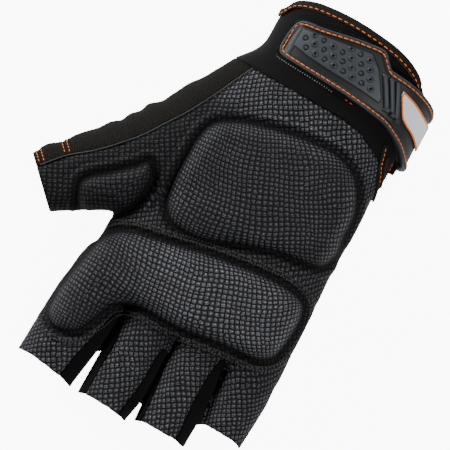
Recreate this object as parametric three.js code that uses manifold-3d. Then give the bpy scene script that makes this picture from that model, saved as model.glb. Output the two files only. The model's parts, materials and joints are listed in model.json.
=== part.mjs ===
// Half-finger impact glove for the right hand, lying on its back with the palm up.
// Millimetres. +X points to the thumb side, +Y to the fingertips and +Z out of the palm.

import * as THREE from "three";
import Module from "manifold-3d";

const wasm = await Module();
wasm.setup();

// Sizes of the whole glove
const breadth = 94; // across the knuckles: x shares follow it
const reach = 152; // from the rim of the cuff to the finger crotches: y shares follow it
const depth = 32; // over the palm, from the floor up: z shares follow it

// Thicknesses
const wall = 1.6; // leather and knit
const cuff_wall = 2.4; // neoprene
const clearance = 0.3; // between pieces that touch

// Seams
const seam_height = 12; // where leather and knit meet along the glove's sides
const gusset_low = 7.5; // lower edge of the strips between the fingers
const gusset_high = 16.5; // upper edge of those strips
const gusset_root = 0.31; // where they start, as a share of reach
const gusset_inset = 2; // from a finger's middle line
const slit_width = 1.2;

// Thumb tube, along its own axis
const thumb_mouth = new THREE.Vector2(0.798 * breadth, 0.168 * reach); // middle of its open end
const thumb_angle = THREE.MathUtils.degToRad(47); // from +X towards +Y
const thumb_reach = 80; // from the open end back to the wrist
const thumb_width = 23.8; // at the open end
const thumb_hem = 14.5; // length of the hemmed knit end

// Palm padding
const pad_rise = 6.4; // of the heel and knuckle pads over the palm
const thumb_pad_rise = 4.6;
const pad_shoulder = 3.4; // width of a pad's rounded edge

// Cuff, strap and pull tab
const binding_width = 2.8;
const binding_thickness = 0.9;
const strap_thickness = 2;
const tab_thickness = 1.9;
const bead_width = 1.7; // raised border of the pull tab
const bead_rise = 0.9;
const grip_rise = 0.5;
const dot_radius = 1.15;
const dot_rise = 0.6;
const dot_taper = 0.8; // of its radius at the top
const dot_pitch = 4.3;
const rib_width = 1.9;
const rib_rise = 1.1;
const label_thickness = 0.6;

// Mesh fineness
const body_sides = 24;
const finger_sides = 12;
const thumb_sides = 12;
const outline_points = 26; // round a pad
const dot_sides = 5;
const band_step = 10; // degrees between the stations of a band round the cuff
const band_widths = 3; // points across it

// Sections of the hand and cuff, from the rim to the knuckles. x, y and z are shares of
// breadth, reach and depth, and square is the power of the rounded section.
const body_rows = [
  { y: -0.65, left: -0.42, right: 0.285, low: 0.05, high: 1.28, square: 2.2 },
  { y: -0.61, left: -0.425, right: 0.288, low: 0.045, high: 1.28, square: 2.2 },
  { y: -0.55, left: -0.432, right: 0.294, low: -0.03, high: 1.28, square: 2.2 },
  { y: -0.46, left: -0.436, right: 0.292, low: -0.05, high: 1.25, square: 2.2 },
  { y: -0.365, left: -0.445, right: 0.378, low: -0.05, high: 1.155, square: 2.3 },
  { y: -0.31, left: -0.447, right: 0.42, low: -0.05, high: 1.09, square: 2.4 },
  { y: -0.23, left: -0.447, right: 0.457, low: -0.05, high: 1.03, square: 2.5 },
  { y: -0.13, left: -0.455, right: 0.468, low: -0.05, high: 1, square: 2.5 },
  { y: 0, left: -0.463, right: 0.468, low: -0.05, high: 0.98, square: 2.5 },
  { y: 0.1, left: -0.477, right: 0.465, low: -0.05, high: 0.96, square: 2.5 },
  { y: 0.2, left: -0.489, right: 0.468, low: -0.05, high: 0.93, square: 2.5 },
  { y: 0.285, left: -0.494, right: 0.495, low: -0.02, high: 0.89, square: 2.5 },
  { y: 0.33, left: -0.47, right: 0.48, low: 0.06, high: 0.8, square: 2.4 },
];

// Each finger's tube: the edges at its root, its middle and its open end, in the same shares.
// slant tips the open end: how far it runs back for each step across.
const finger_rows = {
  little: {
    slant: 0,
    sections: [
      { y: 0.24, left: -0.48, right: -0.235, low: 0.01, high: 0.88 },
      { y: 0.38, left: -0.511, right: -0.286, low: 0.05, high: 0.75 },
      { y: 0.493, left: -0.507, right: -0.303, low: 0.12, high: 0.66 },
    ],
  },
  ring: {
    slant: -0.03,
    sections: [
      { y: 0.24, left: -0.262, right: -0.005, low: 0.01, high: 0.89 },
      { y: 0.38, left: -0.285, right: -0.036, low: 0.05, high: 0.78 },
      { y: 0.515, left: -0.316, right: -0.047, low: 0.1, high: 0.75 },
      { y: 0.57, left: -0.301, right: -0.057, low: 0.13, high: 0.74 },
    ],
  },
  middle: {
    slant: 0.02,
    sections: [
      { y: 0.24, left: -0.046, right: 0.236, low: 0.01, high: 0.89 },
      { y: 0.38, left: -0.039, right: 0.221, low: 0.05, high: 0.79 },
      { y: 0.515, left: -0.048, right: 0.216, low: 0.11, high: 0.76 },
      { y: 0.587, left: -0.029, right: 0.214, low: 0.14, high: 0.75 },
    ],
  },
  index: {
    slant: 0.11,
    sections: [
      { y: 0.24, left: 0.198, right: 0.48, low: 0.01, high: 0.88 },
      { y: 0.38, left: 0.206, right: 0.518, low: 0.05, high: 0.77 },
      { y: 0.576, left: 0.245, right: 0.522, low: 0.12, high: 0.73 },
    ],
  },
};

// Sections of the thumb tube. back is a share of thumb_reach, inner and outer are shares of
// thumb_width from its axis, and the outer edge rises and falls with the gathers of the knit.
const thumb_rows = [
  { back: 0, inner: 0.5, outer: 0.52, low: 0.16, high: 0.78 },
  { back: 0.09, inner: 0.57, outer: 0.6, low: 0.13, high: 0.8 },
  { back: 0.145, inner: 0.62, outer: 0.575, low: 0.1, high: 0.82 },
  { back: 0.24, inner: 0.7, outer: 0.632, low: 0.075, high: 0.87 },
  { back: 0.35, inner: 0.775, outer: 0.643, low: 0.05, high: 0.92 },
  { back: 0.42, inner: 0.805, outer: 0.677, low: 0.02, high: 0.95 },
  { back: 0.47, inner: 0.84, outer: 0.655, low: 0.01, high: 0.97 },
  { back: 0.53, inner: 0.865, outer: 0.72, low: 0, high: 0.98 },
  { back: 0.57, inner: 0.88, outer: 0.722, low: 0, high: 1 },
  { back: 0.63, inner: 0.9, outer: 0.79, low: -0.02, high: 1.02 },
  { back: 0.685, inner: 0.92, outer: 0.775, low: -0.03, high: 1.03 },
  { back: 0.76, inner: 0.92, outer: 0.84, low: -0.03, high: 1.03 },
  { back: 0.87, inner: 0.92, outer: 0.925, low: -0.03, high: 1.03 },
  { back: 1, inner: 0.5, outer: 0.85, low: 0.12, high: 0.95 },
];
const thumb_square = 2.2;

// Seams and edges seen from above, as [share of breadth, share of reach]
const rim_line = [
  [-0.638, -0.526], [-0.404, -0.547], [-0.351, -0.582], [-0.298, -0.602], [-0.213, -0.618],
  [-0.106, -0.625], [0, -0.627], [0.106, -0.622], [0.191, -0.612], [0.255, -0.592],
  [0.295, -0.553], [0.532, -0.526],
];
const cuff_line = [
  [-0.638, -0.329], [-0.404, -0.329], [-0.372, -0.342], [-0.319, -0.359], [-0.266, -0.375],
  [-0.191, -0.383], [0.106, -0.382], [0.277, -0.378], [0.638, -0.375],
];
// The slit that the strap closes, as the angle round the cuff and a share of reach
const slit_path = [
  { angle: 178, y: -0.237 },
  { angle: 171, y: -0.26 },
  { angle: 152, y: -0.329 },
  { angle: 145.5, y: -0.382 },
  { angle: 145, y: -0.651 },
];
const slit_steps = 4; // stations between two rows of the slit
const thumb_seam = [
  [0.277, -0.378], [0.319, -0.322], [0.351, -0.276], [0.426, -0.184], [0.479, -0.132],
  [0.532, -0.079], [0.66, 0.013], [0.766, 0.072], [0.846, 0.132], [0.957, 0.217],
];

// Where the strips between the fingers show from above, up one side of each crotch and
// down the other
const gusset_notches = {
  little_ring: [
    [-0.312, 0.65], [-0.305, 0.498], [-0.286, 0.408], [-0.272, 0.345], [-0.255, 0.316],
    [-0.24, 0.335], [-0.232, 0.415], [-0.25, 0.545], [-0.257, 0.65],
  ],
  ring_middle: [
    [-0.1, 0.65], [-0.089, 0.57], [-0.073, 0.455], [-0.05, 0.39], [-0.03, 0.36],
    [-0.014, 0.366], [-0.014, 0.42], [-0.017, 0.487], [0.013, 0.58], [0.02, 0.65],
  ],
  middle_index: [
    [0.174, 0.65], [0.178, 0.487], [0.18, 0.42], [0.2, 0.365], [0.226, 0.345], [0.245, 0.36],
    [0.266, 0.42], [0.292, 0.497], [0.311, 0.575], [0.32, 0.65],
  ],
};

// Outlines of the pads' feet, smoothed through their points, in the same shares
const heel_outline = [
  [-0.431, -0.066], [-0.42, -0.118], [-0.41, -0.184], [-0.372, -0.237], [-0.319, -0.276],
  [-0.234, -0.296], [-0.128, -0.293], [0, -0.28], [0.106, -0.262], [0.213, -0.237],
  [0.292, -0.204], [0.318, -0.164], [0.322, -0.079], [0.312, 0], [0.288, 0.053],
  [0.234, 0.079], [0.128, 0.081], [0, 0.053], [-0.106, 0.026], [-0.213, 0.003],
  [-0.351, -0.012], [-0.404, -0.023],
];
const knuckle_outline = [
  [-0.415, 0.086], [-0.319, 0.072], [0, 0.099], [0.213, 0.132], [0.39, 0.164],
  [0.445, 0.211], [0.462, 0.296], [0.476, 0.382], [0.466, 0.45], [0.426, 0.468],
  [0.351, 0.454], [0.305, 0.401], [0.27, 0.345], [0.191, 0.316], [0, 0.309],
  [-0.213, 0.286], [-0.383, 0.27], [-0.43, 0.243], [-0.445, 0.178], [-0.44, 0.118],
];
const thumb_outline = [
  [0.41, 0], [0.447, -0.025], [0.489, 0.003], [0.564, 0.049], [0.638, 0.092], [0.654, 0.118],
  [0.617, 0.161], [0.585, 0.168], [0.511, 0.145], [0.447, 0.122], [0.413, 0.079],
];

// Ridge lines that the pads' crowns rise to. The middle point sees the whole outline.
const heel_ridge = [[-0.22, -0.12], [-0.04, -0.09], [0.14, -0.06]];
const knuckle_ridge = [[-0.32, 0.18], [0.31, 0.25], [0.39, 0.4]];
const thumb_ridge = [[0.47, 0.04], [0.525, 0.083], [0.58, 0.125]];
const ridge_step = 7; // between the points of a ridge line
const ridge_rise = 1.06; // share of a pad's rise

// A pad's section from its foot to its crown: inset is a share of pad_shoulder and rise one
// of the pad's own rise. towards is how far a crown ring lies from the shoulder to the ridge.
const dome_rows = [
  { inset: 0, rise: -0.5 },
  { inset: 0, rise: 0.25 },
  { inset: 0.25, rise: 0.62 },
  { inset: 1, rise: 0.95 },
];
const crown_rows = [{ towards: 0.5, rise: 1.03 }];

// Pull tab, from its free end round the little-finger side. angle is measured round the
// cuff from the thumb side over the palm, and low and high are shares of reach.
const tab_rows = [
  { angle: 46, low: -0.5, high: -0.466 },
  { angle: 48, low: -0.533, high: -0.452 },
  { angle: 53, low: -0.553, high: -0.445 },
  { angle: 67, low: -0.563, high: -0.443 },
  { angle: 82, low: -0.579, high: -0.442 },
  { angle: 92, low: -0.59, high: -0.441 },
  { angle: 101, low: -0.596, high: -0.438 },
  { angle: 104, low: -0.59, high: -0.437 },
  { angle: 108, low: -0.572, high: -0.436 },
  { angle: 112, low: -0.56, high: -0.434 },
  { angle: 124, low: -0.558, high: -0.428 },
  { angle: 134, low: -0.553, high: -0.415 },
  { angle: 147, low: -0.543, high: -0.395 },
  { angle: 161, low: -0.53, high: -0.37 },
  { angle: 180, low: -0.507, high: -0.352 },
  { angle: 198, low: -0.495, high: -0.343 },
];
const strap_end_angle = 216; // where the strap is sewn to the cuff's back
const hook_angles = { from: 43, to: 98 };
const hook_margin = 1.1; // of hook tape that peeks out round the free end
const label_rows = [
  { angle: 127, low: -0.523, high: -0.509 },
  { angle: 136, low: -0.519, high: -0.463 },
  { angle: 152, low: -0.5, high: -0.441 },
  { angle: 168, low: -0.486, high: -0.42 },
  { angle: 180, low: -0.477, high: -0.41 },
];
const grip_rows = [
  { x: -0.255, low: -0.482, high: -0.468 },
  { x: -0.181, low: -0.545, high: -0.472 },
  { x: -0.128, low: -0.569, high: -0.474 },
  { x: 0, low: -0.555, high: -0.48 },
  { x: 0.1, low: -0.544, high: -0.483 },
  { x: 0.176, low: -0.535, high: -0.487 },
];
const dot_rows = [
  { x: -0.19, y: -0.487, count: 8 },
  { x: -0.17, y: -0.507, count: 8 },
  { x: -0.149, y: -0.528, count: 7 },
  { x: -0.126, y: -0.549, count: 3 },
];
const rib_rows = [
  { from: [-0.355, -0.452], to: [-0.283, -0.536] },
  { from: [-0.326, -0.46], to: [-0.252, -0.537] },
  { from: [-0.296, -0.464], to: [-0.219, -0.538] },
];

// Materials
const looks = {
  leather: { color: 0x26262b, roughness: 0.55, metalness: 0 },
  pad_leather: { color: 0x303036, roughness: 0.5, metalness: 0 },
  knit: { color: 0x1c1a16, roughness: 0.95, metalness: 0 },
  gusset: { color: 0x17171a, roughness: 0.9, metalness: 0 },
  neoprene: { color: 0x141416, roughness: 0.85, metalness: 0 },
  binding: { color: 0x2a201c, roughness: 0.9, metalness: 0 },
  hook_tape: { color: 0x101012, roughness: 1, metalness: 0 },
  moulded_rubber: { color: 0x3c4146, roughness: 0.6, metalness: 0 },
  label: { color: 0xeaedf2, roughness: 0.6, metalness: 0 },
};

// Small helpers

const power = (value, exponent) => Math.sign(value) * Math.abs(value) ** exponent;
const mix = (from, to, share) => from + (to - from) * share;
const radians = THREE.MathUtils.degToRad;

// The row of a table at one value of its key, straight between the rows given.
function rowAt(rows, key, value) {
  const after = rows.findIndex((row) => row[key] >= value);
  if (after <= 0) return after === 0 ? rows[0] : rows.at(-1);
  const [before, next] = [rows[after - 1], rows[after]];
  const share = (value - before[key]) / (next[key] - before[key]);
  const names = Object.keys(before);
  return Object.fromEntries(names.map((name) => [name, mix(before[name], next[name], share)]));
}

const flat = ([x, y]) => new THREE.Vector2(x * breadth, y * reach);

// Points of a line moved sideways, to the left of its direction.
function beside(line, distance) {
  return line.map((point, i) => {
    const ahead = line[Math.min(i + 1, line.length - 1)];
    const behind = line[Math.max(i - 1, 0)];
    const along = ahead.clone().sub(behind).normalize();
    return new THREE.Vector2(point.x - along.y * distance, point.y + along.x * distance);
  });
}

// A closed solid from points and triangles, with its faces turned out.
function solidOf(points, faces) {
  const volume = faces.reduce((sum, [a, b, c]) => {
    return sum + points[a].dot(points[b].clone().cross(points[c]));
  }, 0);
  const turned = volume < 0 ? faces.map(([a, b, c]) => [a, c, b]) : faces;
  return new wasm.Manifold(new wasm.Mesh({
    numProp: 3,
    vertProperties: new Float32Array(points.flatMap((point) => point.toArray())),
    triVerts: new Uint32Array(turned.flat()),
  }));
}

const middleOf = (ring) => {
  return ring.reduce((sum, p) => sum.add(p), new THREE.Vector3()).divideScalar(ring.length);
};

// A fan that closes a ring round a hub
function fan(ring, hub = middleOf(ring)) {
  const faces = ring.map((_, i) => [i, (i + 1) % ring.length, ring.length]);
  return { added: [hub], faces };
}

// Triangles that close a ring over a ridge line: each point of the ring meets the nearest
// point of the ridge.
function roof(ring, ridge) {
  const count = ring.length;
  const nearest = ring.map((p) => {
    const far = ridge.map((top) => Math.hypot(top.x - p.x, top.y - p.y));
    return far.indexOf(Math.min(...far));
  });
  const faces = ring.flatMap((_, i) => {
    const next = (i + 1) % count;
    const steps = Math.abs(nearest[next] - nearest[i]);
    const way = Math.sign(nearest[next] - nearest[i]);
    const along = Array.from({ length: steps }, (_, step) => {
      const from = nearest[i] + way * step;
      return [next, count + from + way, count + from];
    });
    return [[i, next, count + nearest[i]], ...along];
  });
  return { added: ridge, faces };
}

// A skin over rings of equally many points, closed by a lid at each end.
function skin(rings, lids = [fan(rings[0]), fan(rings.at(-1))]) {
  const count = rings[0].length;
  const points = rings.flat();
  const faces = [];
  for (let ring = 0; ring + 1 < rings.length; ring++) {
    for (let i = 0; i < count; i++) {
      const a = ring * count + i;
      const b = ring * count + ((i + 1) % count);
      faces.push([a, b, b + count], [a, b + count, a + count]);
    }
  }
  lids.forEach((lid, end) => {
    const first = end ? (rings.length - 1) * count : 0;
    const extra = points.length;
    points.push(...lid.added);
    const place = (corner) => (corner < count ? first + corner : extra + corner - count);
    faces.push(...lid.faces.map((corners) => {
      const placed = corners.map(place);
      return end ? placed : placed.toReversed();
    }));
  });
  return solidOf(points, faces);
}

const highest = depth * 3;

// An upright prism over an outline seen from above.
function prism(outline, low = -depth, high = highest) {
  const steps = [low, high].map((z) => outline.map((p) => new THREE.Vector3(p.x, p.y, z)));
  const count = outline.length;
  const points = steps.flat();
  const caps = THREE.ShapeUtils.triangulateShape(outline, []);
  const sides = outline.flatMap((_, i) => {
    const j = (i + 1) % count;
    return [[i, j, j + count], [i, j + count, i + count]];
  });
  const clockwise = THREE.ShapeUtils.isClockWise(outline);
  const lids = caps.flatMap(([a, b, c]) => {
    const lid = clockwise ? [c, b, a] : [a, b, c];
    const [p, q, r] = lid;
    return [[r, q, p], [p + count, q + count, r + count]];
  });
  const walls = clockwise ? sides.map(([a, b, c]) => [c, b, a]) : sides;
  return solidOf(points, [...lids, ...walls]);
}

// Rounded ring across the glove
function sectionRing(sides, pointAt) {
  return Array.from({ length: sides }, (_, i) => pointAt((i / sides) * 2 * Math.PI));
}

// A point on the hand and cuff at a station y and an angle round it, lifted off the skin.
// What would sink below the floor is pressed flat on it.
function bodyPoint(y, angle, lift) {
  const row = rowAt(body_rows, "y", y / reach);
  const half = ((row.right - row.left) / 2) * breadth + lift;
  const rise = ((row.high - row.low) / 2) * depth + lift;
  const middle = ((row.right + row.left) / 2) * breadth;
  const level = ((row.high + row.low) / 2) * depth;
  const x = middle + half * power(Math.cos(angle), 2 / row.square);
  const z = level + rise * power(Math.sin(angle), 2 / row.square);
  return new THREE.Vector3(x, y, Math.max(z, -lift));
}

// The angle round the cuff of a point seen from above.
function angleAt(x, y, lift) {
  const row = rowAt(body_rows, "y", y / reach);
  const half = ((row.right - row.left) / 2) * breadth + lift;
  const middle = ((row.right + row.left) / 2) * breadth;
  const share = THREE.MathUtils.clamp((x - middle) / half, -1, 1);
  return Math.acos(power(share, row.square / 2));
}

function bodyLoft(lift) {
  const last = body_rows.length - 1;
  return skin(body_rows.map((row, i) => {
    const ring = sectionRing(body_sides, (angle) => bodyPoint(row.y * reach, angle, lift));
    const shift = i === last ? lift : 0;
    return ring.map((p) => p.setY(p.y + shift));
  }));
}

const finger_square = 2.3;

function fingerLoft({ slant, sections }, lift, past) {
  const last = sections.length - 1;
  return skin(sections.map((row, i) => {
    const middle = ((row.left + row.right) / 2) * breadth;
    const half = ((row.right - row.left) / 2) * breadth + lift;
    const level = ((row.high + row.low) / 2) * depth;
    const rise = ((row.high - row.low) / 2) * depth + lift;
    const y = row.y * reach + (i === last ? past : 0);
    return sectionRing(finger_sides, (angle) => {
      const across = half * power(Math.cos(angle), 2 / finger_square);
      const z = level + rise * power(Math.sin(angle), 2 / finger_square);
      const lean = i === last ? slant * across : 0;
      return new THREE.Vector3(middle + across, y - lean, Math.max(z, -lift));
    });
  }));
}

const thumb_along = new THREE.Vector2(Math.cos(thumb_angle), Math.sin(thumb_angle));
const thumb_across = new THREE.Vector2(thumb_along.y, -thumb_along.x);

// A place on the thumb seen from above: how far back from its mouth and how far outwards.
function thumbPlace(back, out) {
  return thumb_mouth.clone().addScaledVector(thumb_along, -back).addScaledVector(thumb_across, out);
}

function thumbLoft(lift, past) {
  return skin(thumb_rows.map((row, i) => {
    const middle = ((row.outer - row.inner) / 2) * thumb_width;
    const half = ((row.outer + row.inner) / 2) * thumb_width + lift;
    const level = ((row.high + row.low) / 2) * depth;
    const rise = ((row.high - row.low) / 2) * depth + lift;
    const back = row.back * thumb_reach - (i ? 0 : past);
    return sectionRing(thumb_sides, (angle) => {
      const out = middle + half * power(Math.cos(angle), 2 / thumb_square);
      const z = level + rise * power(Math.sin(angle), 2 / thumb_square);
      const place = thumbPlace(back, out);
      return new THREE.Vector3(place.x, place.y, Math.max(z, -lift));
    });
  }));
}

// The whole hand form, grown by lift and run past its open ends.
function handForm(lift, past = 0) {
  const parts = [
    bodyLoft(lift),
    thumbLoft(lift, past),
    ...Object.values(finger_rows).map((finger) => fingerLoft(finger, lift, past)),
  ];
  return parts.reduce((whole, part) => whole.add(part));
}

// Height of the palm side at a place seen from above. The palm reaches a little past its
// last section, over the webs between the fingers.
const web_end = 0.36; // share of reach

function palmHeight(x, y) {
  const heights = [0];
  if (y < web_end * reach) {
    const row = rowAt(body_rows, "y", y / reach);
    heights.push(sectionHeight(row.left * breadth, row.right * breadth, row, row.square, x));
  }
  const from_mouth = new THREE.Vector2(x, y).sub(thumb_mouth);
  const back = -from_mouth.dot(thumb_along);
  if (back > 0 && back < thumb_reach) {
    const section = rowAt(thumb_rows, "back", back / thumb_reach);
    const out = from_mouth.dot(thumb_across);
    const edges = [-section.inner * thumb_width, section.outer * thumb_width];
    heights.push(sectionHeight(...edges, section, thumb_square, out));
  }
  for (const { sections } of Object.values(finger_rows)) {
    if (y < sections[0].y * reach) continue;
    const section = rowAt(sections, "y", y / reach);
    const edges = [section.left * breadth, section.right * breadth];
    heights.push(sectionHeight(...edges, section, finger_square, x));
  }
  return Math.max(...heights);
}

function sectionHeight(left, right, row, square, x) {
  const share = Math.min(Math.abs(x - (left + right) / 2) / ((right - left) / 2), 1);
  const level = ((row.high + row.low) / 2) * depth;
  return level + ((row.high - row.low) / 2) * depth * (1 - share ** square) ** (1 / square);
}

// A point off the palm along its slope, with the slope kept under 60 degrees.
const slope_step = 1;
const steepest = 1.7;

function palmPoint(place, lift) {
  const { x, y } = place;
  const slope = (ahead, behind) => {
    return THREE.MathUtils.clamp((ahead - behind) / (2 * slope_step), -steepest, steepest);
  };
  const along_x = slope(palmHeight(x + slope_step, y), palmHeight(x - slope_step, y));
  const along_y = slope(palmHeight(x, y + slope_step), palmHeight(x, y - slope_step));
  const away = new THREE.Vector3(-along_x, -along_y, 1).normalize();
  return new THREE.Vector3(x, y, palmHeight(x, y)).addScaledVector(away, lift);
}

// The slit round the cuff, with stations between its rows: angles in radians, y in mm
const slit = slit_path.flatMap((row, i) => {
  const next = slit_path[i + 1] ?? row;
  const steps = i + 1 < slit_path.length ? slit_steps : 1;
  return Array.from({ length: steps }, (_, step) => ({
    angle: radians(mix(row.angle, next.angle, step / steps)),
    y: mix(row.y, next.y, step / steps) * reach,
  }));
});

// A strip along the cuff's skin: path holds angles in radians and y, side shifts it
// towards the thumb side, and the lifts are of its under and upper face.
const strip_radius = 34; // of the cuff, which turns a width into an angle

function skinStrip(path, width, under, over, side = 0) {
  const unrolled = path.map(({ angle, y }) => new THREE.Vector2(-angle * strip_radius, y));
  const [right, left] = [side + width / 2, side - width / 2].map((shift) => beside(unrolled, shift));
  return skin(right.map((edge, i) => {
    const corners = [[edge, under], [left[i], under], [left[i], over], [edge, over]];
    return corners.map(([place, lift]) => bodyPoint(place.y, -place.x / strip_radius, lift));
  }));
}

// A band round the cuff between the low and high edges of its rows, in degrees and mm.
function bandAngles(rows) {
  const [start, end] = [rows[0].angle, rows.at(-1).angle];
  const even = Math.ceil((end - start) / band_step);
  const angles = Array.from({ length: even + 1 }, (_, i) => mix(start, end, i / even));
  const own = rows.map((row) => row.angle);
  const spread = angles.filter((angle) => own.every((a) => Math.abs(a - angle) > band_step / 4));
  return [...spread, ...own].sort((a, b) => a - b);
}

function band(rows, under, over) {
  return skin(bandAngles(rows).map((angle) => {
    const { low, high } = rowAt(rows, "angle", angle);
    const ys = Array.from({ length: band_widths }, (_, i) => mix(low, high, i / (band_widths - 1)));
    const lower = ys.map((y) => bodyPoint(y, radians(angle), under));
    const upper = ys.toReversed().map((y) => bodyPoint(y, radians(angle), over));
    return [...lower, ...upper];
  }));
}

const inMillimetres = (rows) => rows.map((row) => ({ ...row, low: row.low * reach, high: row.high * reach }));

// The body of the glove, in panels

const outer = handForm(0);
const mouth_overrun = 5; // of the hollow past the open ends
const shell = outer.subtract(handForm(-wall, mouth_overrun));
const clear_of_hand = handForm(clearance);

const ulnar_side = -breadth;
const thumb_side = breadth * 1.2;
const below = -reach;

// Everything on the wrist side of a line that runs across from the little-finger side.
function wristSide(line) {
  return prism([
    new THREE.Vector2(ulnar_side, below),
    new THREE.Vector2(thumb_side, below),
    new THREE.Vector2(thumb_side, line.at(-1).y),
    ...line.toReversed(),
    new THREE.Vector2(ulnar_side, line[0].y),
  ]);
}

// Leather: all of the palm side up to the cuff, the slit and the seam across the thumb.
function leatherZone(grow) {
  const cuff_edge = beside(cuff_line.slice(2).map(flat), -grow).slice(0, -2);
  const seam = beside(thumb_seam.map(flat), -grow);
  const leather_end = cuff_line[1][1] * reach;
  const slit_edge = slit
    .filter(({ y }) => y >= leather_end)
    .map(({ angle, y }) => bodyPoint(y, angle, 0))
    .map(({ x, y }) => new THREE.Vector2(x, y));
  const outline = [
    new THREE.Vector2(ulnar_side, reach),
    new THREE.Vector2(ulnar_side, slit_edge[0].y),
    ...slit_edge,
    ...cuff_edge,
    ...seam,
    new THREE.Vector2(thumb_side, seam.at(-1).y),
    new THREE.Vector2(thumb_side, reach),
  ];
  return prism(outline, seam_height - grow);
}

// Strips between neighbouring fingers, from near the middle of one to the next, with the
// notch that shows from above.
function gussetZone(first, second, grow) {
  const middle = (name, i) => {
    const { left, right } = finger_rows[name].sections.at(i);
    return ((left + right) / 2) * breadth;
  };
  const start = gusset_root * reach - grow;
  const inset = gusset_inset - grow;
  const outline = [
    new THREE.Vector2(middle(first, 1) + inset, start),
    new THREE.Vector2(middle(second, 1) - inset, start),
    new THREE.Vector2(middle(second, -1) - inset, reach),
    new THREE.Vector2(middle(first, -1) + inset, reach),
  ];
  const notch = beside(gusset_notches[`${first}_${second}`].map(flat), -grow);
  return prism(outline, gusset_low - grow, gusset_high + grow).add(prism(notch, gusset_low - grow));
}

// The hemmed knit at the end of the thumb
function hemZone(grow) {
  return prism([
    thumbPlace(thumb_hem + grow, -thumb_width),
    thumbPlace(-thumb_width, -thumb_width),
    thumbPlace(-thumb_width, thumb_width),
    thumbPlace(thumb_hem + grow, thumb_width),
  ].toReversed());
}

const pieces = {};
const finger_names = Object.keys(finger_rows);
const gusset_pairs = finger_names.slice(1).map((name, i) => [finger_names[i], name]);
const all_gussets = gusset_pairs
  .map(([first, second]) => gussetZone(first, second, clearance))
  .reduce((whole, zone) => whole.add(zone));
const rim = rim_line.map(flat);
const cuff_edge = cuff_line.map(flat);
const slit_cut = skinStrip(slit, slit_width, -cuff_wall * 2, cuff_wall);

pieces.palm_panel = [
  shell.intersect(leatherZone(0)).subtract(all_gussets).subtract(slit_cut),
  "leather",
];
pieces.back_panel = [
  shell
    .subtract(leatherZone(clearance))
    .subtract(all_gussets)
    .subtract(hemZone(clearance))
    .subtract(wristSide(cuff_edge))
    .subtract(slit_cut),
  "knit",
];
pieces.thumb_hem = [shell.intersect(hemZone(0)).subtract(leatherZone(clearance)), "knit"];
for (const [first, second] of gusset_pairs) {
  pieces[`${first}_${second}_gusset`] = [shell.intersect(gussetZone(first, second, 0)), "gusset"];
}

// Cuff with its slit, its bound rim and the bound edges of the slit

const binding_lap = 0.8; // from the rim to the neoprene inside the binding
const rim_inner = beside(rim, binding_width);
const cuff_rim = beside(rim, binding_lap);
const cuffWall = (grow) => bodyLoft(grow).subtract(bodyLoft(-cuff_wall - grow));
const cuff_zone = wristSide(beside(cuff_edge, -clearance)).subtract(wristSide(cuff_rim));

pieces.cuff = [cuffWall(0).intersect(cuff_zone).subtract(slit_cut), "neoprene"];
pieces.cuff_binding = [
  cuffWall(binding_thickness + clearance)
    .intersect(wristSide(rim_inner).subtract(wristSide(rim)))
    .subtract(cuffWall(clearance).subtract(wristSide(beside(rim, binding_lap - clearance))))
    .subtract(slit_cut),
  "binding",
];

const slit_edge_width = 1.8;
const slit_edge_shift = (slit_width + slit_edge_width) / 2;

function slitBinding(from, to, side) {
  return skinStrip(
    slit.filter(({ y }) => y < from * reach && y > to * reach),
    slit_edge_width,
    -clearance,
    clearance + binding_thickness,
    side * slit_edge_shift,
  ).subtract(clear_of_hand);
}

pieces.slit_binding_palm = [slitBinding(-0.25, -0.385, 1), "binding"];
pieces.slit_binding_back = [slitBinding(-0.275, -0.352, -1), "binding"];

// Padding sewn on the palm: domes that follow the hand under them

function padLoop(outline) {
  const corners = outline.map(flat).map(({ x, y }) => new THREE.Vector3(x, y, 0));
  const curve = new THREE.CatmullRomCurve3(corners, true, "centripetal");
  return curve.getSpacedPoints(outline_points).slice(0, -1).map(({ x, y }) => new THREE.Vector2(x, y));
}

function insetLoop(loop, distance) {
  const turns = THREE.ShapeUtils.isClockWise(loop) ? -1 : 1;
  const closed = [loop.at(-1), ...loop, loop[0]];
  return beside(closed, distance * turns).slice(1, -1);
}

// The place on a line that is nearest to a point.
function nearestOn(line, point) {
  const places = line.slice(1).map((end, i) => {
    const start = line[i];
    const along = end.clone().sub(start);
    const share = point.clone().sub(start).dot(along) / along.lengthSq();
    return start.clone().addScaledVector(along, THREE.MathUtils.clamp(share, 0, 1));
  });
  return places.sort((a, b) => a.distanceTo(point) - b.distanceTo(point))[0];
}

function pad(outline, ridge, rise) {
  const top = ridge.map(flat);
  const loop = padLoop(outline);
  const shoulders = dome_rows.map((row) => {
    return insetLoop(loop, row.inset * pad_shoulder).map((p) => palmPoint(p, row.rise * rise));
  });
  const shoulder = insetLoop(loop, pad_shoulder);
  const crown = crown_rows.map((row) => shoulder.map((p) => {
    return palmPoint(p.clone().lerp(nearestOn(top, p), row.towards), row.rise * rise);
  }));
  const length = top[0].distanceTo(top[1]) + top[1].distanceTo(top[2]);
  const line = new THREE.Path(top).getSpacedPoints(Math.round(length / ridge_step));
  const ridge_points = line.map((p) => palmPoint(p, ridge_rise * rise));
  const foot = fan(shoulders[0], palmPoint(top[1], dome_rows[0].rise * rise));
  return skin([...shoulders, ...crown], [foot, roof(crown.at(-1), ridge_points)])
    .subtract(clear_of_hand);
}

pieces.heel_pad = [pad(heel_outline, heel_ridge, pad_rise), "pad_leather"];
pieces.knuckle_pad = [pad(knuckle_outline, knuckle_ridge, pad_rise), "pad_leather"];
pieces.thumb_pad = [pad(thumb_outline, thumb_ridge, thumb_pad_rise), "pad_leather"];

// Wrist strap with its hook tape, moulded pull tab and label

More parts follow.
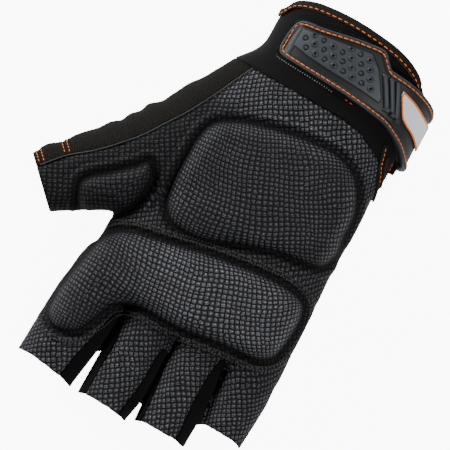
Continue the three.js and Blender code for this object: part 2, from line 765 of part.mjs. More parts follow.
const tab_under = 2 * clearance + strap_thickness;
const tab_floor = tab_under + tab_thickness;
const tab = inMillimetres(tab_rows);
const degrees_per_mm = THREE.MathUtils.radToDeg(1 / (strip_radius + tab_floor));
const strap_inset = 1.2;
const rim_edge = wristSide(beside(rim, binding_width + clearance));

function between(rows, from, to) {
  const inner = rows.filter(({ angle }) => angle > from && angle < to);
  const ends = [from, to].map((angle) => ({ ...rowAt(rows, "angle", angle), angle }));
  return [ends[0], ...inner, ends[1]];
}

function narrowed(rows, inset) {
  return rows.map((row) => ({ ...row, low: row.low + inset, high: row.high - inset }));
}

const strap_rows = narrowed(between(tab, hook_angles.to + 2, strap_end_angle), strap_inset);
pieces.wrist_strap = [
  band(strap_rows, 0, clearance + strap_thickness).subtract(clear_of_hand).subtract(rim_edge),
  "neoprene",
];

const hook_shift = 3; // degrees that the tape reaches past the tab's end
const hook_rows = between(tab, hook_angles.from + hook_shift, hook_angles.to + hook_shift)
  .map((row) => ({ ...row, angle: row.angle - hook_shift, high: row.high + hook_margin }));
pieces.hook_tape = [
  band(hook_rows, 0, clearance + strap_thickness).subtract(clear_of_hand).subtract(rim_edge),
  "hook_tape",
];

const bead_angle = bead_width * degrees_per_mm;
const tab_field = narrowed(
  between(tab, tab[0].angle + bead_angle, tab.at(-1).angle - bead_angle),
  bead_width,
);
const onTab = ([x, y]) => {
  return { angle: angleAt(x * breadth, y * reach, tab_floor), y: y * reach };
};

function rib({ from, to }) {
  const steps = 4;
  const places = Array.from({ length: steps + 1 }, (_, i) => {
    return onTab([mix(from[0], to[0], i / steps), mix(from[1], to[1], i / steps)]);
  });
  return skinStrip(places, rib_width, tab_under + tab_thickness / 2, tab_floor + rib_rise);
}

function stud({ angle, y }, radius, low, high) {
  const [foot, top] = [low, high].map((lift) => bodyPoint(y, angle, lift));
  const axis = top.clone().sub(foot);
  const seat = new THREE.Object3D();
  seat.quaternion.setFromUnitVectors(new THREE.Vector3(0, 0, 1), axis.clone().normalize());
  const ringAt = (centre, size) => sectionRing(dot_sides, (turn) => {
    const spoke = new THREE.Vector3(Math.cos(turn) * size, Math.sin(turn) * size, 0);
    return spoke.applyQuaternion(seat.quaternion).add(centre);
  });
  return skin([ringAt(foot, radius), ringAt(top, radius * dot_taper)]);
}

const grip_rows_round = inMillimetres(grip_rows)
  .map(({ x, low, high }) => {
    const angle = angleAt(x * breadth, (low + high) / 2, tab_floor);
    return { angle: THREE.MathUtils.radToDeg(angle), low, high };
  })
  .sort((a, b) => a.angle - b.angle);
const grip_floor = tab_floor + grip_rise;
const dots = dot_rows.flatMap(({ x, y, count }, row) => {
  return Array.from({ length: count }, (_, i) => {
    const place = onTab([x + (i * dot_pitch) / breadth, y]);
    return stud(place, dot_radius, tab_floor, grip_floor + dot_rise);
  });
});
pieces.pull_tab = [
  [
    band(tab, tab_under, tab_floor + bead_rise).subtract(band(tab_field, tab_floor, tab_floor * 3)),
    band(grip_rows_round, tab_floor - tab_thickness / 2, grip_floor),
    ...rib_rows.map(rib),
    ...dots,
  ].reduce((whole, piece) => whole.add(piece)),
  "moulded_rubber",
];
pieces.label = [
  band(inMillimetres(label_rows), tab_floor + clearance, tab_floor + clearance + label_thickness),
  "label",
];

// Each piece as a named mesh, with the glove standing on the origin

function meshOf(name, [piece, look]) {
  const { numProp, vertProperties, triVerts } = piece.getMesh();
  const geometry = new THREE.BufferGeometry();
  geometry.setAttribute("position", new THREE.BufferAttribute(vertProperties, numProp));
  geometry.setIndex(new THREE.BufferAttribute(triVerts, 1));
  geometry.computeVertexNormals();
  const mesh = new THREE.Mesh(geometry, new THREE.MeshStandardMaterial(looks[look]));
  mesh.name = name;
  return mesh;
}

const glove = new THREE.Group();
Object.entries(pieces).forEach(([name, piece]) => glove.add(meshOf(name, piece)));
const extent = new THREE.Box3().setFromObject(glove);
const centre = extent.getCenter(new THREE.Vector3());
glove.position.set(-centre.x, -centre.y, -extent.min.z);

const impact_glove = new THREE.Group();
impact_glove.add(glove);

export default impact_glove;
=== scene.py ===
import json
import math

import bpy
import numpy as np
from mathutils import Matrix, Vector


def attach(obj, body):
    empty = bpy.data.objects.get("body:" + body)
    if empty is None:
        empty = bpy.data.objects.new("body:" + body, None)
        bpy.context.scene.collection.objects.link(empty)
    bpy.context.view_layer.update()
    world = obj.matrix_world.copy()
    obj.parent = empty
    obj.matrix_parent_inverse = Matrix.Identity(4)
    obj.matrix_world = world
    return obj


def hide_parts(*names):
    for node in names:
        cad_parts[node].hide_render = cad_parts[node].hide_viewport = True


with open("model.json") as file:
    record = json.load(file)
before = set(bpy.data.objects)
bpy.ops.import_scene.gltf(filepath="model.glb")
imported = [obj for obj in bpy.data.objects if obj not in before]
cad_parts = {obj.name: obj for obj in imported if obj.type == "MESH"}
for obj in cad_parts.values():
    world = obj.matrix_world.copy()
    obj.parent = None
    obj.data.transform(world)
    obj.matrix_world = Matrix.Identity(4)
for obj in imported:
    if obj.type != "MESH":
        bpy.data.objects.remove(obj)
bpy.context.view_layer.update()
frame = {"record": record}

# Half-finger impact glove, right hand, lying on its back. The sizes below are in millimetres
# in the glove's own drawing frame; place() turns them into the part's frame in metres.

MM = 0.001
SHIFT = np.array(frame["record"]["mounts"][0]["pos_m"])

BREADTH = 94.0
REACH = 152.0
DEPTH = 32.0
WALL = 1.6
CUFF_WALL = 2.4
GAP = 0.06
SEAM_HEIGHT = 12.0
THUMB_MOUTH = np.array([0.798 * BREADTH, 0.168 * REACH])
THUMB_ANGLE = math.radians(47)
THUMB_REACH = 80.0
THUMB_WIDTH = 23.8
THUMB_SQUARE = 2.2
THUMB_HEM = 14.5
FINGER_SQUARE = 2.3


def table(names, scales, rows):
    """Named columns of a short table, each times its scale."""
    columns = np.array(rows, dtype=float).T
    return {name: column * scale for name, column, scale in zip(names.split(), columns, scales)}


BODY = table("y left right low high square", (REACH, BREADTH, BREADTH, DEPTH, DEPTH, 1), [
    (-0.65, -0.42, 0.285, 0.05, 1.28, 2.2),
    (-0.61, -0.425, 0.288, 0.045, 1.28, 2.2),
    (-0.55, -0.432, 0.294, -0.03, 1.28, 2.2),
    (-0.46, -0.436, 0.292, -0.05, 1.25, 2.2),
    (-0.365, -0.445, 0.378, -0.05, 1.155, 2.3),
    (-0.31, -0.447, 0.42, -0.05, 1.09, 2.4),
    (-0.23, -0.447, 0.457, -0.05, 1.03, 2.5),
    (-0.13, -0.455, 0.468, -0.05, 1.0, 2.5),
    (0.0, -0.463, 0.468, -0.05, 0.98, 2.5),
    (0.1, -0.477, 0.465, -0.05, 0.96, 2.5),
    (0.2, -0.489, 0.468, -0.05, 0.93, 2.5),
    (0.285, -0.494, 0.495, -0.02, 0.89, 2.5),
    (0.33, -0.47, 0.48, 0.06, 0.8, 2.4),
])
FINGER_COLUMNS = ("y left right low high", (REACH, BREADTH, BREADTH, DEPTH, DEPTH))
FINGERS = {
    "little": (0.0, table(*FINGER_COLUMNS, [
        (0.24, -0.48, -0.235, 0.01, 0.88),
        (0.38, -0.511, -0.286, 0.05, 0.75),
        (0.493, -0.507, -0.303, 0.12, 0.66),
    ])),
    "ring": (-0.03, table(*FINGER_COLUMNS, [
        (0.24, -0.262, -0.005, 0.01, 0.89),
        (0.38, -0.285, -0.036, 0.05, 0.78),
        (0.515, -0.316, -0.0485, 0.1, 0.75),
        (0.57, -0.301, -0.057, 0.13, 0.74),
    ])),
    "middle": (0.02, table(*FINGER_COLUMNS, [
        (0.24, -0.046, 0.236, 0.01, 0.89),
        (0.38, -0.039, 0.2195, 0.05, 0.79),
        (0.515, -0.0455, 0.2135, 0.11, 0.76),
        (0.587, -0.029, 0.21, 0.14, 0.75),
    ])),
    "index": (0.11, table(*FINGER_COLUMNS, [
        (0.24, 0.198, 0.48, 0.01, 0.88),
        (0.38, 0.21, 0.518, 0.05, 0.77),
        (0.576, 0.245, 0.522, 0.12, 0.73),
    ])),
}
THUMB = table("back inner outer low high", (THUMB_REACH, THUMB_WIDTH, THUMB_WIDTH, DEPTH, DEPTH), [
    (0.0, 0.5, 0.52, 0.16, 0.78),
    (0.09, 0.57, 0.6, 0.13, 0.8),
    (0.145, 0.62, 0.575, 0.1, 0.82),
    (0.24, 0.7, 0.632, 0.075, 0.87),
    (0.35, 0.775, 0.643, 0.05, 0.92),
    (0.42, 0.805, 0.677, 0.02, 0.95),
    (0.47, 0.84, 0.655, 0.01, 0.97),
    (0.53, 0.865, 0.72, 0.0, 0.98),
    (0.57, 0.88, 0.722, 0.0, 1.0),
    (0.63, 0.9, 0.79, -0.02, 1.02),
    (0.685, 0.92, 0.775, -0.03, 1.03),
    (0.76, 0.92, 0.84, -0.03, 1.03),
    (0.87, 0.92, 0.925, -0.03, 1.03),
    (1.0, 0.5, 0.85, 0.12, 0.95),
])

PLAN_SCALE = np.array([BREADTH, REACH])


def plan_line(points):
    return np.array(points, dtype=float) * PLAN_SCALE


RIM_LINE = plan_line([
    (-0.638, -0.526), (-0.404, -0.547), (-0.351, -0.582), (-0.298, -0.602), (-0.213, -0.618),
    (-0.106, -0.625), (0, -0.627), (0.106, -0.622), (0.191, -0.612), (0.255, -0.592),
    (0.295, -0.553), (0.532, -0.526),
])
CUFF_LINE = plan_line([
    (-0.638, -0.329), (-0.404, -0.329), (-0.372, -0.342), (-0.319, -0.359), (-0.266, -0.375),
    (-0.191, -0.383), (0.106, -0.382), (0.277, -0.378), (0.638, -0.375),
])
THUMB_SEAM = plan_line([
    (0.277, -0.378), (0.319, -0.322), (0.351, -0.276), (0.426, -0.184), (0.479, -0.132),
    (0.532, -0.079), (0.66, 0.013), (0.766, 0.072), (0.846, 0.132), (0.957, 0.217),
])
SLIT = table("angle y", (1, REACH), [
    (178, -0.237), (171, -0.26), (152, -0.329), (145.5, -0.382), (145, -0.651),
])
NOTCHES = {
    ("little", "ring"): plan_line([
        (-0.312, 0.65), (-0.305, 0.498), (-0.286, 0.408), (-0.272, 0.345), (-0.255, 0.316),
        (-0.24, 0.335), (-0.232, 0.415), (-0.25, 0.545), (-0.257, 0.65),
    ]),
    ("ring", "middle"): plan_line([
        (-0.1, 0.65), (-0.089, 0.57), (-0.066, 0.455), (-0.045, 0.395), (-0.028, 0.376),
        (-0.008, 0.38), (-0.002, 0.42), (-0.004, 0.487), (0.013, 0.58), (0.02, 0.65),
    ]),
    ("middle", "index"): plan_line([
        (0.174, 0.65), (0.178, 0.487), (0.18, 0.42), (0.2, 0.365), (0.226, 0.345),
        (0.245, 0.36), (0.266, 0.42), (0.292, 0.497), (0.311, 0.575), (0.32, 0.65),
    ]),
}
HEEL_OUTLINE = plan_line([
    (-0.431, -0.066), (-0.42, -0.118), (-0.41, -0.184), (-0.372, -0.237), (-0.319, -0.276),
    (-0.234, -0.296), (-0.128, -0.293), (0, -0.28), (0.106, -0.262), (0.213, -0.237),
    (0.292, -0.204), (0.318, -0.164), (0.322, -0.079), (0.312, 0), (0.288, 0.053),
    (0.234, 0.079), (0.128, 0.081), (0, 0.053), (-0.106, 0.026), (-0.213, 0.003),
    (-0.351, -0.012), (-0.404, -0.023),
])
KNUCKLE_OUTLINE = plan_line([
    (-0.415, 0.086), (-0.319, 0.072), (0, 0.099), (0.213, 0.132), (0.39, 0.164),
    (0.452, 0.208), (0.478, 0.294), (0.496, 0.38), (0.486, 0.452), (0.436, 0.474),
    (0.351, 0.454), (0.305, 0.401), (0.27, 0.345), (0.191, 0.316), (0, 0.309),
    (-0.213, 0.286), (-0.383, 0.27), (-0.43, 0.243), (-0.445, 0.178), (-0.44, 0.118),
])
THUMB_OUTLINE = plan_line([
    (0.41, 0), (0.447, -0.025), (0.489, 0.003), (0.564, 0.049), (0.638, 0.092), (0.654, 0.118),
    (0.617, 0.161), (0.585, 0.168), (0.511, 0.145), (0.447, 0.122), (0.413, 0.079),
])
TAB = table("angle low high", (1, REACH, REACH), [
    (46, -0.5, -0.466), (48, -0.533, -0.452), (53, -0.553, -0.445), (67, -0.563, -0.443),
    (82, -0.579, -0.442), (92, -0.59, -0.441), (101, -0.596, -0.438), (104, -0.59, -0.437),
    (108, -0.572, -0.436), (112, -0.56, -0.434), (124, -0.558, -0.428), (134, -0.553, -0.415),
    (147, -0.543, -0.395), (161, -0.53, -0.37), (180, -0.507, -0.352), (198, -0.495, -0.343),
])
LABEL = table("angle low high", (1, REACH, REACH), [
    (124.8, -0.5285, -0.517), (136, -0.519, -0.463), (152, -0.5, -0.441), (168, -0.486, -0.42),
    (180, -0.477, -0.41),
])
GRIP = table("x low high", (BREADTH, REACH, REACH), [
    (-0.255, -0.482, -0.468), (-0.181, -0.545, -0.472), (-0.128, -0.569, -0.474),
    (0, -0.555, -0.475), (0.1, -0.544, -0.478), (0.176, -0.535, -0.484),
])
DOTS = table("x y count", (BREADTH, REACH, 1), [
    (-0.194, -0.489, 8), (-0.172, -0.51, 8), (-0.152, -0.531, 7), (-0.13, -0.5525, 3),
])
RIBS = [plan_line(ends) for ends in (
    [(-0.355, -0.452), (-0.283, -0.536)],
    [(-0.326, -0.46), (-0.252, -0.537)],
    [(-0.296, -0.464), (-0.219, -0.538)],
)]


# Numbers and fields


def smooth_at(xs, ys, x):
    """A table read with a smooth curve that doesn't overshoot its rows."""
    steps = np.diff(xs)
    slopes = np.diff(ys) / steps
    tangents = np.zeros(len(xs))
    same = slopes[1:] * slopes[:-1] > 0
    weights = (2 * steps[1:] + steps[:-1], steps[1:] + 2 * steps[:-1])
    safe = np.where(same, slopes[:-1], 1), np.where(same, slopes[1:], 1)
    blend = (weights[0] + weights[1]) / (weights[0] / safe[0] + weights[1] / safe[1])
    tangents[1:-1] = np.where(same, blend, 0)
    tangents[0], tangents[-1] = slopes[0], slopes[-1]
    x = np.clip(x, xs[0], xs[-1])
    i = np.clip(np.searchsorted(xs, x, side="right") - 1, 0, len(steps) - 1)
    t = (x - xs[i]) / steps[i]
    t2, t3 = t * t, t * t * t
    return ((2 * t3 - 3 * t2 + 1) * ys[i] + (t3 - 2 * t2 + t) * steps[i] * tangents[i]
            + (3 * t2 - 2 * t3) * ys[i + 1] + (t3 - t2) * steps[i] * tangents[i + 1])


def smooth_min(a, b, k):
    h = np.clip(0.5 + 0.5 * (b - a) / k, 0, 1)
    return b + (a - b) * h - k * h * (1 - h)


def smooth_max(a, b, k):
    return -smooth_min(-a, -b, k)


def ramp(value, start, end):
    t = np.clip((value - start) / (end - start), 0, 1)
    return t * t * (3 - 2 * t)


def ripple(x, y, size, seed=0):
    """Soft noise from a few sine waves, about -1 to 1."""
    total = 0
    for turn in range(5):
        angle = seed + turn * 2.4
        pitch = size * (0.7 + 0.27 * ((turn * 7 + seed * 3) % 3))
        across = x * math.cos(angle) + y * math.sin(angle)
        along = -x * math.sin(angle) + y * math.cos(angle)
        total = total + np.sin(across * 2 * math.pi / pitch + turn + seed
                               + 1.3 * np.sin(along * 2 * math.pi / (pitch * 1.7) + seed))
    return total / 5


def section(x, z, left, right, low, high, square):
    """Distance to a rounded section, less than 0 inside it."""
    half, rise = (right - left) / 2, (high - low) / 2
    u = np.abs(x - (left + right) / 2) / half
    w = np.abs(z - (low + high) / 2) / rise
    r = (u ** square + w ** square) ** (1 / square)
    safe = np.maximum(r, 1e-4)
    slope = np.hypot((u / safe) ** (square - 1) / half, (w / safe) ** (square - 1) / rise)
    return (r - 1) / np.maximum(slope, 1e-3)


def columns_at(rows, key, value, names):
    return [smooth_at(rows[key], rows[name], value) for name in names.split()]


BODY_END = BODY["y"][-1]
ALONG = np.array([math.cos(THUMB_ANGLE), math.sin(THUMB_ANGLE)])
ACROSS = np.array([ALONG[1], -ALONG[0]])


def thumb_coordinates(x, y):
    dx, dy = x - THUMB_MOUTH[0], y - THUMB_MOUTH[1]
    return -(dx * ALONG[0] + dy * ALONG[1]), dx * ACROSS[0] + dy * ACROSS[1]


def body_field(x, y, z):
    left, right, low, high, square = columns_at(BODY, "y", y, "left right low high square")
    return smooth_max(section(x, z, left, right, low, high, square), y - BODY_END, 3)


def finger_fields(x, y, z):
    nearest = None
    for _, rows in FINGERS.values():
        left, right, low, high = columns_at(rows, "y", y, "left right low high")
        field = section(x, z, left, right, low, high, FINGER_SQUARE)
        field = smooth_max(field, rows["y"][0] - y, 2)
        nearest = field if nearest is None else np.minimum(nearest, field)
    return nearest


def thumb_field(x, y, z):
    back, out = thumb_coordinates(x, y)
    inner, outer, low, high = columns_at(THUMB, "back", back, "inner outer low high")
    field = section(out, z, -inner, outer, low, high, THUMB_SQUARE)
    return smooth_max(field, back - THUMB_REACH, 3)


def hand(x, y, z):
    """Distance to the filled glove's skin, with its tubes run past their open ends."""
    field = smooth_min(body_field(x, y, z), finger_fields(x, y, z), 3.5)
    field = smooth_min(field, thumb_field(x, y, z), 5)
    return smooth_max(field, -z, 1)


# Plan fields


def curve_through(points, closed, spacing=1.0):
    """Points evenly along a smooth curve through the given ones."""
    points = np.asarray(points, float)
    if closed:
        chain = np.vstack([points[-1:], points, points[:2]])
    else:
        chain = np.vstack([2 * points[0] - points[1], points, 2 * points[-1] - points[-2]])
    out = []
    for i in range(1, len(chain) - 2):
        p = chain[i - 1:i + 3]
        knots = np.cumsum([0] + [np.linalg.norm(b - a) ** 0.5 for a, b in zip(p[:-1], p[1:])])
        t = np.linspace(knots[1], knots[2], 24, endpoint=False)[:, None]

        def blend(start, stop, a, b):
            span = knots[stop] - knots[start]
            return (knots[stop] - t) / span * a + (t - knots[start]) / span * b

        first, second, third = (blend(k, k + 1, p[k], p[k + 1]) for k in range(3))
        out.append(blend(1, 2, blend(0, 2, first, second), blend(1, 3, second, third)))
    out.append(points[:1] if closed else points[-1:])
    return even(np.vstack(out), spacing)


def lengths_along(line):
    return np.concatenate([[0], np.cumsum(np.linalg.norm(np.diff(line, axis=0), axis=1))])


def at_length(at, lengths, values):
    """The rows of values at the given lengths along their line."""
    return np.stack([np.interp(at, lengths, column) for column in values.T], axis=-1)


def even(line, spacing):
    """The same line with its points evenly spaced."""
    lengths = lengths_along(line)
    count = max(2, int(round(lengths[-1] / spacing)) + 1)
    return at_length(np.linspace(0, lengths[-1], count), lengths, line)


PLAN_STEP = 0.5
PLAN_X = np.arange(-62, 94, PLAN_STEP)
PLAN_Y = np.arange(-104, 100, PLAN_STEP)
PLAN_GRID = np.meshgrid(PLAN_X, PLAN_Y, indexing="ij")


def plan_distance(line):
    """Distance to a line seen from above, and how far along it the nearest place is."""
    px, py = PLAN_GRID
    best = np.full(px.shape, 1e9)
    place = np.zeros(px.shape)
    start = 0.0
    for a, b in zip(line[:-1], line[1:]):
        d = b - a
        length = float(np.hypot(*d))
        t = np.clip(((px - a[0]) * d[0] + (py - a[1]) * d[1]) / (length * length), 0, 1)
        distance = (px - a[0] - t * d[0]) ** 2 + (py - a[1] - t * d[1]) ** 2
        closer = distance < best
        best = np.where(closer, distance, best)
        place = np.where(closer, start + t * length, place)
        start += length
    return np.sqrt(best), place


def plan_inside(loop):
    px, py = PLAN_GRID
    inside = np.zeros(px.shape, bool)
    for (ax, ay), (bx, by) in zip(loop, np.roll(loop, -1, axis=0)):
        crosses = (ay > py) != (by > py)
        if ay != by:
            inside ^= crosses & (px < ax + (py - ay) * (bx - ax) / (by - ay))
    return inside


def plan_polygon(loop):
    """Signed distance to a closed outline, less than 0 inside it."""
    closed = np.vstack([loop, loop[:1]])
    distance, _ = plan_distance(closed)
    return np.where(plan_inside(loop), -distance, distance)


def on_plan(grid, x, y):
    """A plan grid read at places between its points."""
    fx = np.clip((x - PLAN_X[0]) / PLAN_STEP, 0, len(PLAN_X) - 1.001)
    fy = np.clip((y - PLAN_Y[0]) / PLAN_STEP, 0, len(PLAN_Y) - 1.001)
    i, j = fx.astype(int), fy.astype(int)
    s, t = fx - i, fy - j
    return ((grid[i, j] * (1 - s) + grid[i + 1, j] * s) * (1 - t)
            + (grid[i, j + 1] * (1 - s) + grid[i + 1, j + 1] * s) * t)


# Cuff coordinates


CUFF_RADIUS = 34.0


def body_point(y, angle, lift):
    """A point on the hand and cuff at a station y and an angle in degrees, lifted off the skin."""
    left, right, low, high, square = columns_at(BODY, "y", y, "left right low high square")
    half, rise = (right - left) / 2 + lift, (high - low) / 2 + lift
    cos, sin = np.cos(np.radians(angle)), np.sin(np.radians(angle))
    x = (left + right) / 2 + half * np.sign(cos) * np.abs(cos) ** (2 / square)
    z = (low + high) / 2 + rise * np.sign(sin) * np.abs(sin) ** (2 / square)
    return np.stack(np.broadcast_arrays(x, y, np.maximum(z, -lift)), axis=-1)


def body_angle(x, y, z):
    """The angle round the cuff of a place, in degrees from -90 to 270."""
    left, right, low, high, square = columns_at(BODY, "y", y, "left right low high square")
    u = (x - (left + right) / 2) / ((right - left) / 2)
    w = (z - (low + high) / 2) / ((high - low) / 2)
    turn = np.arctan2(np.sign(w) * np.abs(w) ** (square / 2), np.sign(u) * np.abs(u) ** (square / 2))
    return (np.degrees(turn) + 90) % 360 - 90


def angle_over(x, y, lift):
    """The angle of a place on the palm side of the cuff seen from above."""
    left, right, square = columns_at(BODY, "y", y, "left right square")
    share = np.clip((x - (left + right) / 2) / ((right - left) / 2 + lift), -1, 1)
    return np.degrees(np.arccos(np.sign(share) * np.abs(share) ** (square / 2)))


SLIT_BEND_Y = -58.0
SLIT_SLANT = 0.55  # how much of the way round the cuff counts across the slit's slanted part
SLIT_HALF_WIDTH = 0.25


def slit_angle_at(y):
    return np.interp(y, SLIT["y"][::-1], SLIT["angle"][::-1])


def slit_offset(x, y, z):
    """How far a place is from the slit, more than 0 on the palm side."""
    off = slit_angle_at(y) - body_angle(x, y, z)
    return off * (math.pi / 180) * CUFF_RADIUS * np.where(y > SLIT_BEND_Y, SLIT_SLANT, 1.0)


# Meshes


def place(points):
    return np.asarray(points) * MM + SHIFT


def piece(name, points, faces, material, slot, nodes=(), grain=None, tone=None):
    """A mesh object from points in millimetres and lists of equal-sided faces. grain gives each
    point its place on the flat cloth in millimetres, and tone a brightness painted into its colour, partly
    painted light and shade, which on leather also sets how much of the weave shows."""
    mesh = bpy.data.meshes.new(name)
    faces = [np.asarray(group, dtype=np.int32) for group in faces if len(group)]
    sides = np.concatenate([np.full(len(group), group.shape[1]) for group in faces])
    loops = np.concatenate([group.ravel() for group in faces])
    starts = np.concatenate([[0], np.cumsum(sides)[:-1]]).astype(np.int32)
    mesh.vertices.add(len(points))
    mesh.vertices.foreach_set("co", place(points).astype(np.float32).ravel())
    mesh.loops.add(len(loops))
    mesh.loops.foreach_set("vertex_index", loops)
    mesh.polygons.add(len(sides))
    mesh.polygons.foreach_set("loop_start", starts)
    mesh.update(calc_edges=True)
    mesh.validate()
    mesh.polygons.foreach_set("use_smooth", np.full(len(mesh.polygons), True))
    if grain is not None:
        flat = np.column_stack([grain, np.zeros(len(grain))]).astype(np.float32)
        mesh.attributes.new("grain", "FLOAT_VECTOR", "POINT").data.foreach_set("vector", flat.ravel())
    if tone is not None:
        mesh.attributes.new("tone", "FLOAT", "POINT").data.foreach_set("value", tone.astype(np.float32))
    mesh.materials.append(material)
    made = bpy.data.objects.new(name, mesh)
    bpy.context.scene.collection.objects.link(made)
    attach(made, "root")
    if nodes:
        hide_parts(*nodes)
    return made


CORNERS = [(a, b, c) for a in (0, 1) for b in (0, 1) for c in (0, 1)]
EDGES = [(p, q) for i, p in enumerate(CORNERS) for q in CORNERS[i + 1:]
         if sum(abs(m - n) for m, n in zip(p, q)) == 1]


def surface_net(values, origin, step):
    """Points and four-sided faces of the surface where a grid of values crosses 0."""
    inside = values < 0
    shape = tuple(n - 1 for n in values.shape)
    window = [tuple(slice(c, c + n) for c, n in zip(corner, shape)) for corner in CORNERS]
    count = sum(inside[w].astype(np.int8) for w in window)
    active = (count > 0) & (count < 8)
    cells = np.argwhere(active)
    ids = np.full(shape, -1, np.int32)
    ids[active] = np.arange(len(cells))
    total = np.zeros((len(cells), 3))
    crossings = np.zeros(len(cells))
    at = {corner: values[cells[:, 0] + corner[0], cells[:, 1] + corner[1], cells[:, 2] + corner[2]]
          for corner in CORNERS}
    for p, q in EDGES:
        a, b = at[p], at[q]
        cross = (a < 0) != (b < 0)
        t = (a / np.where(cross, a - b, 1))[:, None]
        spot = np.array(p) + t * (np.array(q) - np.array(p))
        total[cross] += spot[cross]
        crossings[cross] += 1
    points = origin + step * (cells + total / crossings[:, None])
    quads = []
    for axis in range(3):
        u, v = (axis + 1) % 3, (axis + 2) % 3
        low = [slice(None)] * 3
        high = [slice(None)] * 3
        low[axis], high[axis] = slice(0, -1), slice(1, None)
        changes = np.argwhere(inside[tuple(low)] != inside[tuple(high)])
        keep = ((changes[:, u] > 0) & (changes[:, v] > 0)
                & (changes[:, u] < shape[u]) & (changes[:, v] < shape[v]))
        changes = changes[keep]
        back_u, back_v = np.zeros(3, int), np.zeros(3, int)
        back_u[u], back_v[v] = 1, 1
        ring = [changes - back_u - back_v, changes - back_v, changes, changes - back_u]
        quad = np.stack([ids[c[:, 0], c[:, 1], c[:, 2]] for c in ring], axis=1)
        outward = inside[changes[:, 0], changes[:, 1], changes[:, 2]]
        quad[~outward] = quad[~outward][:, ::-1]
        quads.append(quad)
    quads = np.vstack(quads)
    return points, quads[(quads >= 0).all(axis=1)]


COARSE = 1.25
LOWEST = np.array([-56.0, -102.0, -2.5])
HIGHEST = np.array([92.0, 97.0, 50.0])
COARSE_AXES = [np.arange(low, high + COARSE, COARSE) for low, high in zip(LOWEST, HIGHEST)]
COARSE_HAND = hand(*np.ix_(*COARSE_AXES)).astype(np.float32)


def hand_on(axes):
    """The hand field on a finer grid, read from the coarse one."""
    field = COARSE_HAND
    for axis, values in enumerate(axes):
        f = np.clip((values - LOWEST[axis]) / COARSE, 0, len(COARSE_AXES[axis]) - 1.001)
        i = f.astype(int)
        t = (f - i).astype(np.float32)
        t = t.reshape([-1 if a == axis else 1 for a in range(3)])
        field = np.take(field, i, axis) * (1 - t) + np.take(field, i + 1, axis) * t
    return field


def carved(field, low, high, step):
    """The surface of field(hand distance, x, y, z) in a box, settled on the exact field."""
    axes = [np.arange(a, b + step, step) for a, b in zip(low, high)]
    x, y, z = np.ix_(*axes)
    values = np.broadcast_to(field(hand_on(axes), x, y, z), [len(a) for a in axes])
    points, quads = surface_net(values, np.array(low, float), step)

    def exact(p):
        return field(hand(p[:, 0], p[:, 1], p[:, 2]), p[:, 0], p[:, 1], p[:, 2])

    nudge = 0.04
    for _ in range(2):
        here = exact(points)
        slope = np.stack([(exact(points + nudge * np.eye(3)[axis]) - here) / nudge
                          for axis in range(3)], axis=1)
        pull = here / np.maximum((slope ** 2).sum(axis=1), 0.3)
        points = points - np.clip(pull, -0.4 * step, 0.4 * step)[:, None] * slope
    return points, [quads]


# Plan shapes


RIM_CURVE = curve_through(RIM_LINE, False, 2)
CUFF_CURVE = curve_through(CUFF_LINE, False, 2)


def rim_y(x):
    return np.interp(x, RIM_CURVE[:, 0], RIM_CURVE[:, 1])


def cuff_y(x):
    return np.interp(x, CUFF_CURVE[:, 0], CUFF_CURVE[:, 1])


slit_ys = np.linspace(SLIT["y"][0], CUFF_LINE[1, 1], 14)
slit_plan = body_point(slit_ys, slit_angle_at(slit_ys), 0)[:, :2]
LEATHER_LOOP = np.vstack([
    [(-BREADTH, REACH), (-BREADTH, slit_plan[0, 1])],
    slit_plan,
    CUFF_LINE[2:-2],
    curve_through(THUMB_SEAM, False, 3),
    [(BREADTH * 1.2, THUMB_SEAM[-1, 1]), (BREADTH * 1.2, REACH)],
])
leather_plan = plan_polygon(LEATHER_LOOP)
HEEL_LOOP, KNUCKLE_LOOP, THUMB_LOOP = (
    curve_through(outline, True, 1.2)[:-1] for outline in (HEEL_OUTLINE, KNUCKLE_OUTLINE, THUMB_OUTLINE))
PADS = {"heel": HEEL_LOOP, "knuckle": KNUCKLE_LOOP, "thumb": THUMB_LOOP}
pad_plan = {name: plan_polygon(loop) for name, loop in PADS.items()}
any_pad = np.minimum(np.minimum(pad_plan["heel"], pad_plan["knuckle"]), pad_plan["thumb"])

FINGER_SPLITS = (-28.0, -4.1, 21.5)
gusset_plan = {}
for pair, notch in NOTCHES.items():
    curve = curve_through(notch, False, 1.2)
    gusset_plan[pair] = plan_polygon(curve)


END_HOLLOW, END_POINT = 0.5, 1.1  # how far a finger's end dips in its middle and reaches at its sides


CROTCH_X, CROTCH_Y = 45.0, 46.0
ONLY_THUMB_X = 54.0
FAR = 9.0  # a distance that never decides


def by_thumb(x, y):
    """Whether a place is on the thumb's side of its crotch."""
    return ((y < CROTCH_Y) & (x > CROTCH_X)) | (x > ONLY_THUMB_X)


def finger_end(x, y):
    """How far a place is past the open end of the finger or thumb that it is on."""
    end = 0.0
    which = np.digitize(x, FINGER_SPLITS)
    for i, (slant, rows) in enumerate(FINGERS.values()):
        left, right = rows["left"][-1], rows["right"][-1]
        middle, half = (left + right) / 2, (right - left) / 2
        hollow = END_HOLLOW - (END_HOLLOW + END_POINT) * np.abs((x - middle) / half) ** 4
        end = np.where(which == i, y - rows["y"][-1] + slant * (x - middle) + hollow, end)
    back, _ = thumb_coordinates(x, y)
    ragged = 0.18 * ripple(x, y, 2.6, 1) + 0.25 * ripple(x, y, 9, 2)
    return np.where(by_thumb(x, y), -back, np.where(y < CROTCH_Y, -FAR, end + ragged))


GUSSET_START = 0.31 * REACH
GUSSET_LEVEL, GUSSET_HALF_HEIGHT = 12.0, 4.5
NOTCH_FLOOR = 7.5


